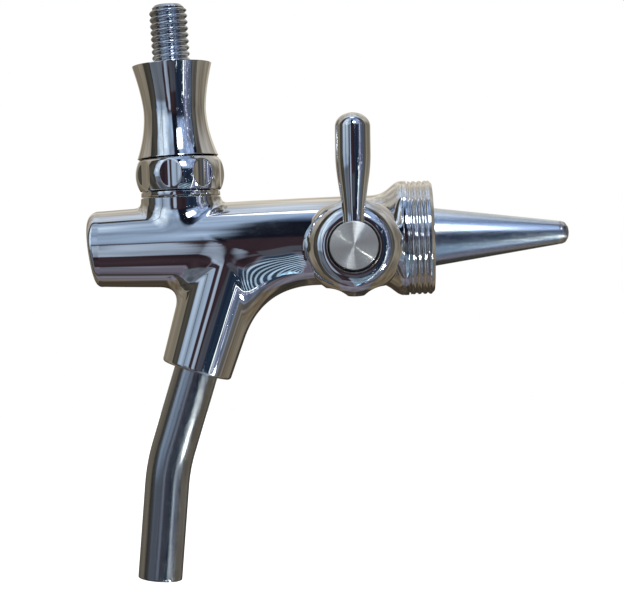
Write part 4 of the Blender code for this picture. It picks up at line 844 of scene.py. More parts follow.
def casting_field(sizes):
    """The whole casting's outside as a function of place."""
    neck = Matrix.Translation((LEVER_PIVOT.x, 0.0, 0.0))
    spout = Matrix.Translation((sizes.spout_x, 0.0, 0.0))
    spout = spout @ Matrix.Rotation(math.pi + sizes.spout_lean, 4, "Y")
    boss = Matrix.Translation((FLOW_PIVOT.x, 0.0, FLOW_PIVOT.z)) @ SIDEWAYS
    branch_root = sizes.branch_radius + sizes.branch_length * math.tan(sizes.branch_taper)

    def field(x, y, z):
        points = (x, y, z)
        body = barrel_field(sizes, x, y, z)
        squeezed = (x, y * sizes.neck_radius / sizes.neck_depth, z)
        wall, along = boss_field(
            neck, squeezed, sizes.neck_radius, sizes.neck_radius, sizes.neck_top, sizes.wall_edge
        )
        body = smooth_union(body, wall, sizes.neck_side + (sizes.neck_reach - sizes.neck_side) * along ** 2)
        wall, along = boss_field(
            spout, points, branch_root, sizes.branch_radius, sizes.branch_length, sizes.branch_edge
        )
        end = np.where(along > 0.0, sizes.branch_front, sizes.branch_rear)
        body = smooth_union(body, wall, sizes.branch_side + (end - sizes.branch_side) * along ** 2)
        wall, along = boss_field(
            boss, points, sizes.boss_root, sizes.boss_radius, sizes.boss_face, sizes.wall_edge
        )
        body = smooth_union(body, wall, sizes.boss_side + (sizes.boss_reach - sizes.boss_side) * along ** 2)
        mouth = np.maximum(np.hypot(y, z) - sizes.mouth_radius, -sizes.mouth_depth - x)
        body = np.maximum(body, x - sizes.flare_end)
        return np.maximum(body, -mouth)

    return field


def surface_net(field, low, high, cell):
    """Quads over the zero surface of a field, one point in each cell that the surface crosses."""
    axes = [np.arange(low[k], high[k] + cell, cell) for k in range(3)]
    grid = np.meshgrid(*axes, indexing="ij")
    values = field(*grid)
    inside = values < 0.0
    shape = tuple(n - 1 for n in values.shape)
    offsets = [(i, j, k) for i in (0, 1) for j in (0, 1) for k in (0, 1)]

    def corner(array, offset):
        return array[tuple(slice(o, o + n) for o, n in zip(offset, shape))]

    filled = sum(corner(inside, offset).astype(np.int8) for offset in offsets)
    cells = np.argwhere((filled > 0) & (filled < 8))
    numbers = np.full(shape, -1)
    numbers[tuple(cells.T)] = np.arange(len(cells))
    total, crossings = np.zeros((len(cells), 3)), np.zeros(len(cells))
    for start in offsets:
        for axis in range(3):
            if start[axis]:
                continue
            end = tuple(o + (k == axis) for k, o in enumerate(start))
            first = values[tuple((cells + start).T)]
            last = values[tuple((cells + end).T)]
            crossed = (first < 0.0) != (last < 0.0)
            share = np.where(crossed, first / np.where(crossed, first - last, 1.0), 0.0)
            spot = np.array(start, float) + share[:, None] * np.eye(3)[axis]
            total += np.where(crossed[:, None], spot, 0.0)
            crossings += crossed
    points = np.array(low) + (cells + total / crossings[:, None]) * cell
    quads = []
    for axis in range(3):
        here = [slice(1, -1)] * 3
        here[axis] = slice(0, -1)
        there = list(here)
        there[axis] = slice(1, None)
        first, last = inside[tuple(here)], inside[tuple(there)]
        spots = np.argwhere(first != last) + [0 if k == axis else 1 for k in range(3)]
        leaving = inside[tuple(spots.T)]
        one, two = [k for k in range(3) if k != axis]
        around = []
        for da, db in ((-1, -1), (0, -1), (0, 0), (-1, 0)):
            shift = np.zeros(3, int)
            shift[one], shift[two] = da, db
            around.append(numbers[tuple((spots + shift).T)])
        quad = np.stack(around, axis=1)
        outwards = leaving if axis != 1 else ~leaving
        quads.append(np.where(outwards[:, None], quad, quad[:, ::-1]))
    return points, np.concatenate(quads)


def slope_of(field, points, step=0.01 * MM):
    """Gradient of a field by central differences."""
    sides = []
    for axis in range(3):
        shift = np.eye(3)[axis] * step
        ahead = field(*(points + shift).T)
        behind = field(*(points - shift).T)
        sides.append((ahead - behind) / (2 * step))
    return np.stack(sides, axis=1)


def onto_surface(field, points, rounds=5):
    """Points moved straight onto the field's zero surface, and the surface's normals there."""
    for _ in range(rounds):
        slope = slope_of(field, points)
        points = points - slope * (field(*points.T) / (slope ** 2).sum(1))[:, None]
    slope = slope_of(field, points)
    return points, slope / np.linalg.norm(slope, axis=1)[:, None]


# Operators
class PieceOperator(bpy.types.Operator):
    """Base of the faucet's operators."""

    bl_options = {"REGISTER", "UNDO"}

    def execute(self, context):
        self.build(context.scene)
        return {"FINISHED"}


class FAUCET_OT_casting(PieceOperator):
    """Build the casting's outside: barrel, neck, spout branch, side boss and flare"""

    bl_idname = "faucet.casting"
    bl_label = "Casting"

    def build(self, scene):
        sizes = scene.faucet_casting
        low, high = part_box("faucet_body")
        margin = Vector((sizes.margin, sizes.margin, sizes.margin))
        field = casting_field(sizes)
        points, quads = surface_net(field, low - margin, high + margin, sizes.cell)
        points, normals = onto_surface(field, points)
        piece = mesh_piece("casting", points.tolist(), quads.tolist(), normals=normals.tolist())
        settle(piece, Matrix.Identity(4), "plated_metal", "faucet", "plated_metal", "faucet_body")


class FAUCET_OT_rear_flange(PieceOperator):
    """Build the rear flange with its coupling thread, face and mouth"""

    bl_idname = "faucet.rear_flange"
    bl_label = "Rear flange"

    def build(self, scene):
        sizes = scene.faucet_flange
        casting = scene.faucet_casting
        seam = casting.flare_end - sizes.seam_lap
        hidden = sizes.mouth_radius + sizes.hidden_wall
        floor = casting.flange_radius - sizes.groove_depth
        chamber_end = -sizes.mouth_depth - sizes.chamber_depth
        profile = [
            (hidden, seam),
            (casting.flange_radius - sizes.land_inset, seam),
            (casting.flange_radius, seam + sizes.small_step),
            (casting.flange_radius, sizes.groove_start),
            (floor, sizes.groove_start + sizes.small_step),
            (floor, sizes.thread_start - sizes.small_step),
            (sizes.thread_radius, sizes.thread_start),
            (sizes.thread_radius, -sizes.rear_round),
            (sizes.thread_radius - sizes.rear_round, 0.0),
            (sizes.mouth_radius, 0.0),
            (sizes.mouth_radius, -sizes.mouth_depth),
            (sizes.chamber_radius, -sizes.mouth_depth),
            (sizes.chamber_radius, chamber_end),
            (hidden, chamber_end),
        ]
        profile = softened(profile, sizes.edge, closed=True)
        start = sizes.thread_start - sizes.front_margin
        profile = divided(profile, sizes.spacing, start, -sizes.rear_margin)
        piece = lathe("rear_flange", profile, FINE_SIDES, closed=True)
        shaped(
            piece, thread_tree(), start=sizes.thread_start, end=sizes.thread_end,
            pitch=sizes.thread_pitch, depth=sizes.thread_depth, lead=sizes.thread_lead,
            least_radius=sizes.thread_radius - sizes.rear_round, material=finish("plated_metal"),
        )
        settle(piece, REARWARDS, "plated_metal", "faucet", "plated_metal")


class FAUCET_OT_neck_ring(PieceOperator):
    """Build the ring between the neck and the bonnet nut"""

    bl_idname = "faucet.neck_ring"
    bl_label = "Neck ring"

    def build(self, scene):
        casting, nuts, sizes = scene.faucet_casting, scene.faucet_nuts, scene.faucet_ring
        floor = casting.neck_depth - sizes.floor_drop
        ring = casting.neck_radius - sizes.inset
        bottom = casting.neck_top - sizes.below
        ring_bottom = casting.neck_top + sizes.gap
        ring_top = nuts.bonnet_bottom - sizes.gap
        top = nuts.bonnet_bottom + sizes.above
        profile = [
            (floor - sizes.wall, bottom),
            (floor, bottom),
            (floor, ring_bottom),
            (ring, ring_bottom),
            (ring, ring_top),
            (floor, ring_top),
            (floor, top),
            (floor - sizes.wall, top),
        ]
        profile = softened(profile, sizes.edge, closed=True)
        piece = lathe("neck_ring", profile, FINE_SIDES, closed=True)
        place = Matrix.Translation((LEVER_PIVOT.x, 0.0, 0.0))
        settle(piece, place, "plated_metal", "faucet", "plated_metal")


def crown(end_radius, equator, bottom, top, steps=CURVE_STEPS):
    """Points of a nut's crowned side from its lower to its upper end."""
    half = (top - bottom) / 2
    points = []
    for step in range(steps + 1):
        along = 2 * step / steps - 1
        points.append((equator - (equator - end_radius) * along ** 2, bottom + half + half * along))
    return points


def on_sphere(radius, start_height, end_height, steps=CURVE_STEPS):
    """Profile points on a sphere about the origin between two heights."""
    start, end = math.asin(start_height / radius), math.asin(end_height / radius)
    turns = [start + (end - start) * step / steps for step in range(steps + 1)]
    return [(radius * math.cos(turn), radius * math.sin(turn)) for turn in turns]


def cavity_radius(lever):
    return math.hypot(lever.bottom_radius - lever.rim_width, lever.collar_bottom)


class FAUCET_OT_bonnet_nut(PieceOperator):
    """Build the scalloped bonnet nut with its dome"""

    bl_idname = "faucet.bonnet_nut"
    bl_label = "Bonnet nut"

    def build(self, scene):
        nuts, lever = scene.faucet_nuts, scene.faucet_lever
        bottom = nuts.bonnet_bottom - LEVER_PIVOT.z
        top = nuts.bonnet_top - LEVER_PIVOT.z
        sphere = cavity_radius(lever) - nuts.dome_clearance
        hole, thread = nuts.bonnet_hole, nuts.bonnet_thread
        profile = [(thread, bottom), (nuts.bonnet_end - nuts.bonnet_chamfer, bottom)]
        for point in crown(nuts.bonnet_end, nuts.bonnet_radius, bottom, top):
            if math.hypot(*point) < sphere - nuts.trim and point[1] > bottom + nuts.trim:
                profile.append(point)
        profile += on_sphere(sphere, top, math.sqrt(sphere ** 2 - hole ** 2))
        profile += [(hole, top - nuts.bonnet_lip), (thread, top - nuts.bonnet_lip)]
        profile = softened(profile, nuts.bonnet_edge, closed=True)
        profile = divided(profile, nuts.bonnet_spacing, bottom, top)
        piece = lathe("bonnet_nut_surface", profile, 2 * FINE_SIDES, closed=True)
        shaped(
            piece, scallop_tree(), equator=nuts.bonnet_radius, depth=nuts.scallop_depth,
            cutter_radius=nuts.scallop_radius, edge=nuts.scallop_edge, turn=nuts.bonnet_turn,
            count=nuts.scallop_count, material=finish("plated_metal"),
        )
        place = Matrix.Translation((LEVER_PIVOT.x, 0.0, LEVER_PIVOT.z))
        settle(piece, place, "plated_metal", "faucet", "plated_metal", "bonnet_nut")


def lever_place(lever):
    return Matrix.Translation(LEVER_PIVOT) @ Matrix.Rotation(-lever.lean, 4, "Y")


class FAUCET_OT_collar(PieceOperator):
    """Build the hourglass collar"""

    bl_idname = "faucet.collar"
    bl_label = "Hourglass collar"

    def build(self, scene):
        lever = scene.faucet_lever
        hole = lever.stud_radius + lever.stud_clearance
        cavity = cavity_radius(lever)
        profile = on_sphere(cavity, math.sqrt(cavity ** 2 - hole ** 2), lever.collar_bottom)
        lower = lever.waist_height - lever.collar_bottom
        upper = lever.collar_top - lever.waist_height
        for step in range(CURVE_STEPS):
            away = 1.0 - step / CURVE_STEPS
            flare = (lever.bottom_radius - lever.waist_radius) * away ** lever.lower_power
            profile.append((lever.waist_radius + flare, lever.waist_height - lower * away))
        for step in range(CURVE_STEPS + 1):
            away = step / CURVE_STEPS
            flare = (lever.top_radius - lever.waist_radius) * away ** lever.upper_power
            profile.append((lever.waist_radius + flare, lever.waist_height + upper * away))
        profile.append((hole, lever.collar_top))
        profile = softened(profile, lever.collar_edge, closed=True)
        piece = lathe("collar_surface", profile, FINE_SIDES, closed=True)
        settle(piece, lever_place(lever), "plated_metal", "lever", "plated_metal", "lever_collar")


class FAUCET_OT_stud(PieceOperator):
    """Build the threaded stud of the lever's spindle, with the ball and the rod below it"""

    bl_idname = "faucet.stud"
    bl_label = "Threaded stud"

    def build(self, scene):
        lever = scene.faucet_lever
        start = cavity_radius(lever) + lever.stud_gap
        ball, neck = lever.ball_radius, lever.neck_radius
        rod, tip = lever.rod_radius, lever.tip_radius
        rod_meets_tip = math.sqrt(tip ** 2 - rod ** 2)
        profile = [(r, h - LEVER_PIVOT.z) for r, h in on_sphere(tip, -tip, rod_meets_tip)]
        profile[0] = (0.0, profile[0][1])
        profile += on_sphere(ball, -math.sqrt(ball ** 2 - rod ** 2), math.sqrt(ball ** 2 - neck ** 2))
        profile += [
            (neck, start),
            (lever.stud_radius, start),
            (lever.stud_radius, lever.stud_top - lever.stud_chamfer),
            (lever.stud_radius - lever.stud_chamfer, lever.stud_top),
            (0.0, lever.stud_top),
        ]
        profile = softened(profile, lever.stud_edge)
        top = lever.stud_top + lever.top_margin
        profile = divided(profile, lever.spacing, start + lever.stud_margin, top)
        piece = lathe("stud_surface", profile, PLAIN_SIDES)
        shaped(
            piece, thread_tree(), start=start + lever.stud_plain, end=lever.stud_top + lever.stud_lead,
            pitch=lever.stud_pitch, depth=lever.stud_depth, lead=lever.stud_lead,
            least_radius=lever.stud_radius - lever.stud_depth, material=finish("machined_steel"),
        )
        settle(piece, lever_place(lever), "machined_steel", "lever", "steel", "lever_spindle")


class FAUCET_OT_flow_nut(PieceOperator):
    """Build the scalloped flow nut with its domed front"""

    bl_idname = "faucet.flow_nut"
    bl_label = "Flow nut"

    def build(self, scene):
        nuts = scene.faucet_nuts
        thread, journal, rim = nuts.flow_thread, nuts.journal_hole, nuts.recess_rim
        thread_end = nuts.flow_back + nuts.flow_thread_depth
        floor = nuts.dome_top - nuts.recess_depth
        profile = [(thread, nuts.flow_back)]
        profile += crown(nuts.flow_end, nuts.flow_radius, nuts.flow_back, nuts.flow_front)[:-1]
        span = nuts.dome_radius - nuts.recess_radius - rim
        rise = nuts.dome_top - nuts.flow_front
        for step in range(CURVE_STEPS + 1):
            away = 1.0 - step / CURVE_STEPS
            height = nuts.flow_front + rise * (1.0 - away ** nuts.dome_power)
            profile.append((nuts.recess_radius + rim + span * away, height))
        profile += [(nuts.recess_radius, nuts.dome_top), (nuts.recess_radius, floor), (journal, floor)]
        profile += [(journal, thread_end), (thread, thread_end)]
        profile = softened(profile, nuts.flow_edge, closed=True)
        profile = divided(profile, nuts.flow_spacing, nuts.flow_back, nuts.flow_front)
        piece = lathe("flow_nut_surface", profile, 3 * PLAIN_SIDES, closed=True)
        shaped(
            piece, scallop_tree(), equator=nuts.flow_radius, depth=nuts.scallop_depth,
            cutter_radius=nuts.scallop_radius, edge=nuts.scallop_edge, turn=nuts.flow_turn,
            count=nuts.scallop_count, material=finish("plated_metal"),
        )
        place = Matrix.Translation((FLOW_PIVOT.x, 0.0, FLOW_PIVOT.z)) @ SIDEWAYS
        settle(piece, place, "plated_metal", "faucet", "plated_metal", "flow_nut")


def flow_place(flow):
    return Matrix.Translation((FLOW_PIVOT.x, 0.0, FLOW_PIVOT.z)) @ Matrix.Rotation(flow.lean, 4, "Y")


class FAUCET_OT_flow_head(PieceOperator):
    """Build the side spindle with its turned head, and the black ring round it"""

    bl_idname = "faucet.flow_head"
    bl_label = "Side spindle's head"

    def build(self, scene):
        flow = scene.faucet_flow
        profile = [(0.0, flow.journal_end), (flow.journal_radius, flow.journal_end)]
        for middle in (flow.inner_groove, flow.outer_groove):
            low, high = middle - flow.groove_width / 2, middle + flow.groove_width / 2
            profile += [(flow.journal_radius, low), (flow.groove_radius, low)]
            profile += [(flow.groove_radius, high), (flow.journal_radius, high)]
        profile += [
            (flow.journal_radius, flow.collar_back),
            (flow.collar_radius, flow.collar_back),
            (flow.collar_radius, flow.collar_front),
            (flow.journal_radius, flow.collar_front),
            (flow.journal_radius, flow.head_back),
            (flow.head_radius, flow.head_back),
            (flow.head_radius, flow.head_face - flow.head_dish),
            (0.0, flow.head_face),
        ]
        piece = lathe("flow_spindle_surface", softened(profile, flow.head_edge), FINE_SIDES)
        settle(piece, flow_place(flow) @ SIDEWAYS, "turned_steel", "flow_lever", "steel", "flow_spindle")
        root = flow.journal_end + flow.pin_root
        section = [(0.0, flow.pin_end), (flow.pin_radius, flow.pin_end)]
        section += [(flow.pin_radius, root), (0.0, root)]
        pin = lathe("eccentric_pin", softened(section, flow.pin_edge))
        place = flow_place(flow) @ Matrix.Translation((0.0, 0.0, flow.pin_rise)) @ SIDEWAYS
        settle(pin, place, "machined_steel", "flow_lever", "steel")
        bottom = flow.ring_top - flow.ring_height
        section = [(flow.ring_hole, bottom), (flow.ring_radius, bottom), (flow.ring_radius, flow.ring_top),
                   (flow.ring_hole, flow.ring_top)]
        ring = lathe("dust_ring_surface", softened(section, flow.ring_edge, closed=True), closed=True)
        place = Matrix.Translation((FLOW_PIVOT.x, 0.0, FLOW_PIVOT.z)) @ SIDEWAYS
        settle(ring, place, "rubber", "faucet", "black_rubber", "dust_ring")


class FAUCET_OT_flow_arm(PieceOperator):
    """Build the side lever's arm"""

    bl_idname = "faucet.flow_arm"
    bl_label = "Side lever's arm"

    def build(self, scene):
        flow = scene.faucet_flow
        start = flow.head_radius - flow.arm_sink
        bulb = flow.arm_length - flow.arm_crown
        profile = [(0.0, start), (flow.arm_root, start)]
        bulb_start = start + (bulb - start) * flow.bulb_share
        for step in range(1, CURVE_STEPS + 1):
            along = step / CURVE_STEPS
            ease = along * along * (3.0 - 2.0 * along)
            radius = flow.arm_root + (flow.arm_tip - flow.arm_root) * ease
            profile.append((radius, start + (bulb_start - start) * along))
        for step in range(CURVE_STEPS + 1):
            turn = math.pi / 2 * step / CURVE_STEPS
            radius = flow.arm_tip * math.cos(turn) if step < CURVE_STEPS else 0.0
            profile.append((radius, bulb + flow.arm_crown * math.sin(turn)))
        piece = lathe("flow_arm_surface", profile, FINE_SIDES)
        place = flow_place(flow) @ Matrix.Translation((0.0, FLOW_PIVOT.y, 0.0))
        settle(piece, place, "plated_metal", "flow_lever", "plated_metal", "flow_lever_arm")


class FAUCET_OT_spout_tube(PieceOperator):
    """Build the bent drip tube"""

    bl_idname = "faucet.spout_tube"
    bl_label = "Drip tube"

    def stations(self, sizes, casting):
        """Centre line of the tube as (point, lean) pairs."""
        lean = casting.spout_lean
        origin = Vector((casting.spout_x, 0.0, 0.0))
        down = Vector((-math.sin(lean), 0.0, -math.cos(lean)))
        start, bend = origin + down * sizes.start, origin + down * sizes.straight_end
        centre = bend + Vector((math.cos(lean), 0.0, -math.sin(lean))) * sizes.bend_radius
        path = [(start.lerp(bend, step / CURVE_STEPS), lean) for step in range(CURVE_STEPS)]
        for step in range(CURVE_STEPS + 1):
            turn = lean - (lean - sizes.end_lean) * step / CURVE_STEPS
            arm = Vector((-math.cos(turn), 0.0, math.sin(turn))) * sizes.bend_radius
            path.append((centre + arm, turn))
        last, turn = path[-1]
        end = last + Vector((-math.sin(turn), 0.0, -math.cos(turn))) * sizes.tail
        path += [(last.lerp(end, (step + 1) / CURVE_STEPS), turn) for step in range(CURVE_STEPS)]
        return path

    def build(self, scene):
        sizes = scene.faucet_spout
        path = self.stations(sizes, scene.faucet_casting)
        inner = sizes.radius - sizes.wall
        rows = [(point, lean, sizes.radius) for point, lean in path[:-1]]
        end, lean = path[-1]
        back = Vector((math.sin(lean), 0.0, math.cos(lean)))
        for step in range(2 * EDGE_STEPS + 1):
            turn = math.pi * step / (2 * EDGE_STEPS)
            radius = (sizes.radius + inner) / 2 + (sizes.wall / 2) * math.cos(turn)
            rows.append((end + back * sizes.lip * (1 - math.sin(turn)), lean, radius))
        rows += [(point, lean, inner) for point, lean in path[-2::-1]]
        points, corners, faces = [], [], []
        sides = PLAIN_SIDES
        for point, lean, radius in rows:
            across = Vector((math.cos(lean), 0.0, -math.sin(lean)))
            for side in range(sides):
                turn = math.tau * side / sides
                offset = across * math.cos(turn) + Vector((0.0, math.sin(turn), 0.0))
                points.append(point + offset * radius)
        count = len(rows)
        for row in range(count):
            after_row = (row + 1) % count
            for side in range(sides):
                after = (side + 1) % sides
                faces.append((row * sides + side, row * sides + after, after_row * sides + after,
                              after_row * sides + side))
                left, right = side / sides, (side + 1) / sides
                low, high = row / count, (row + 1) / count
                corners += [(left, low), (right, low), (right, high), (left, high)]
        piece = mesh_piece("drip_tube_surface", points, faces, corners)
        settle(piece, Matrix.Identity(4), "brushed_steel", "faucet", "brushed_steel", "spout_tube")


class FAUCET_OT_cone(PieceOperator):
    """Build the compensator cone and the stem's nose"""

    bl_idname = "faucet.cone"
    bl_label = "Compensator cone"

    def build(self, scene):
        cone = scene.faucet_cone
        profile = [(cone.bore, -cone.skirt), (cone.base_radius, -cone.skirt), (cone.base_radius, 0.0),
                   (cone.end_radius, cone.cone_length), (cone.bore, cone.cone_length)]
        piece = lathe("cone_surface", softened(profile, cone.edge, closed=True), FINE_SIDES, closed=True)
        settle(piece, REARWARDS, "satin_metal", "compensator", "satin_metal", "compensator_cone")
        start = cone.cone_length + cone.nose_gap
        nose = [(0.0, start), (cone.end_radius, start)]
        for step in range(1, CURVE_STEPS + 1):
            turn = math.pi / 2 * step / CURVE_STEPS
            radius = cone.end_radius * math.cos(turn) if step < CURVE_STEPS else 0.0
            nose.append((radius, start + cone.nose * math.sin(turn)))
        piece = lathe("nose_surface", nose, PLAIN_SIDES)
        settle(piece, REARWARDS, "plated_metal", "compensator", "steel")


class FAUCET_OT_inner_pieces(PieceOperator):
    """Dress the inner pieces that the frame brings"""

    bl_idname = "faucet.inner_pieces"
    bl_label = "Inner pieces"

    def build(self, scene):
        finishes = {
            "steel": "machined_steel",
            "brass": "turned_brass",
            "white_nylon": "nylon",
            "black_rubber": "rubber",
            "plated_metal": "plated_metal",
            "brushed_steel": "machined_steel",
            "satin_metal": "satin_metal",
        }
        for entry in frame["record"]["subparts"]:
            node = frame["nodes"][entry["node"]]
            node.data.materials.clear()
            node.data.materials.append(finish(finishes[entry["material_slot"]]))


# Each card is a patch of painted light or shade on the glowing tent, seen only in the plating's reflections.
# The stage
# Each card has a name, its azimuth and elevation from and to, the softness of its edges in degrees,
# its colour and strength, and the share of it that is broken up by gaps. A later card covers an earlier.
CARDS = (
    ("backdrop right", 89, 181, -91, 91, 4, (0.27, 0.24, 0.19), 1.0, 0.0),
    ("backdrop left", -181, -89, -91, 91, 4, (0.24, 0.21, 0.16), 1.0, 0.0),
    ("high backdrop right", 89, 181, 26, 91, 34, (0.50, 0.48, 0.45), 1.0, 0.0),
    ("high backdrop left", -181, -89, 26, 91, 34, (0.50, 0.47, 0.42), 1.0, 0.0),
    ("top backdrop right", 89, 181, 62, 96, 24, (0.66, 0.74, 0.86), 1.0, 0.0),
    ("top backdrop left", -181, -89, 62, 96, 24, (0.66, 0.74, 0.86), 1.0, 0.0),
    ("low backdrop right", 89, 181, -91, -25, 25, (0.17, 0.135, 0.09), 1.0, 0.0),
    ("low backdrop left", -181, -89, -91, -25, 25, (0.17, 0.135, 0.09), 1.0, 0.0),
    ("back glow right", 150, 181, 4, 60, 12, (0.70, 0.67, 0.60), 1.0, 0.0),
    ("back glow left", -181, -150, 4, 60, 12, (0.70, 0.67, 0.60), 1.0, 0.0),
    ("back shade right", 148, 181, -70, -3, 8, (0.05, 0.045, 0.035), 1.0, 0.0),
    ("back shade left", -181, -148, -70, -3, 8, (0.07, 0.055, 0.04), 1.0, 0.0),
    ("low rim right", 89, 181, -96, -66, 8, (0.19, 0.18, 0.22), 1.0, 0.0),
    ("low rim left", -181, -89, -96, -66, 8, (0.19, 0.18, 0.22), 1.0, 0.0),
    ("overhead", -89, 89, 66, 96, 30, (0.32, 0.46, 0.74), 1.0, 0.0),
    ("overhead line", -89, 89, 80, 88, 3, (0.90, 0.95, 1.0), 2.2, 0.0),
    ("low sweep", -89, 89, -95, -20, 8, (0.24, 0.23, 0.29), 1.0, 0.0),
    ("lowest sweep", -89, 89, -95, -60, 30, (0.15, 0.13, 0.17), 1.0, 0.0),
    ("low middle", -4, 60, -92, -26, 5, (0.030, 0.050, 0.085), 1.0, 0.0),
    ("low line", 16, 36, -88, -74, 4, (0.45, 0.75, 1.0), 1.4, 0.0),
    ("upper left wall", -70, -11, 4, 80, 5, (0.38, 0.50, 0.68), 1.0, 0.0),
    ("left wall", -64, -28, -55, 79, 3, (0.36, 0.46, 0.60), 1.0, 0.0),
    ("left wall glow", -62, -30, 10, 60, 16, (0.75, 0.88, 1.0), 1.2, 0.3),
    ("left low wall", -64, -28, -60, -3, 4, (0.13, 0.15, 0.18), 1.0, 0.0),
    ("left wall line", -47, -45.5, -55, 79, 1, (0.12, 0.15, 0.20), 1.0, 0.0),
    ("left shade", -89, -66, -91, 91, 4, (0.06, 0.055, 0.045), 1.0, 0.0),
    ("middle", -27, 13, -20, 14, 7, (0.038, 0.024, 0.030), 1.0, 0.0),
    ("low front", -7, 12, -26, -9, 2, (0.070, 0.075, 0.092), 1.0, 0.0),
    ("front floor", -30, -5, -54, -22, 4, (0.040, 0.026, 0.032), 1.0, 0.0),
    ("front pane", -20, -12.5, -23, 10, 3, (0.40, 0.48, 0.60), 1.0, 0.0),
    ("upper right window", 9, 58, 20, 60, 8, (0.46, 0.62, 0.95), 1.2, 0.4),
    ("window light", 5, 20, 30, 43, 5, (0.85, 0.93, 1.0), 14.0, 0.0),
    ("blue right", 12, 62, -50, 18, 6, (0.018, 0.032, 0.060), 1.0, 0.0),
    ("right glow", 38, 54, -70, 40, 4, (0.20, 0.21, 0.34), 1.0, 0.25),
    ("right strip", 44, 49, -70, 40, 2, (0.80, 0.90, 1.0), 1.2, 1.0),
    ("right line", 38.5, 40.5, -60, -5, 1, (0.85, 0.96, 0.90), 4.0, 0.2),
    ("right pane", 53, 68, -70, 40, 3, (0.13, 0.17, 0.25), 1.0, 0.0),
    ("right shade", 70, 88, -91, 91, 3, (0.11, 0.105, 0.095), 1.0, 0.0),
    ("side lamp", 54, 62, -35, -28, 1, (0.94, 1.0, 0.92), 60.0, 0.0),
)

# The blind and the patch of sparkles: azimuth from, to and softness, then elevation likewise
BLIND = (-8.0, 40, 3, -92, -34, 6)
SPARKLES = (12, 66, 6, -30, 66, 10)
SPARKLE_LIGHT = (1.6, 1.8, 2.0, 1.0)


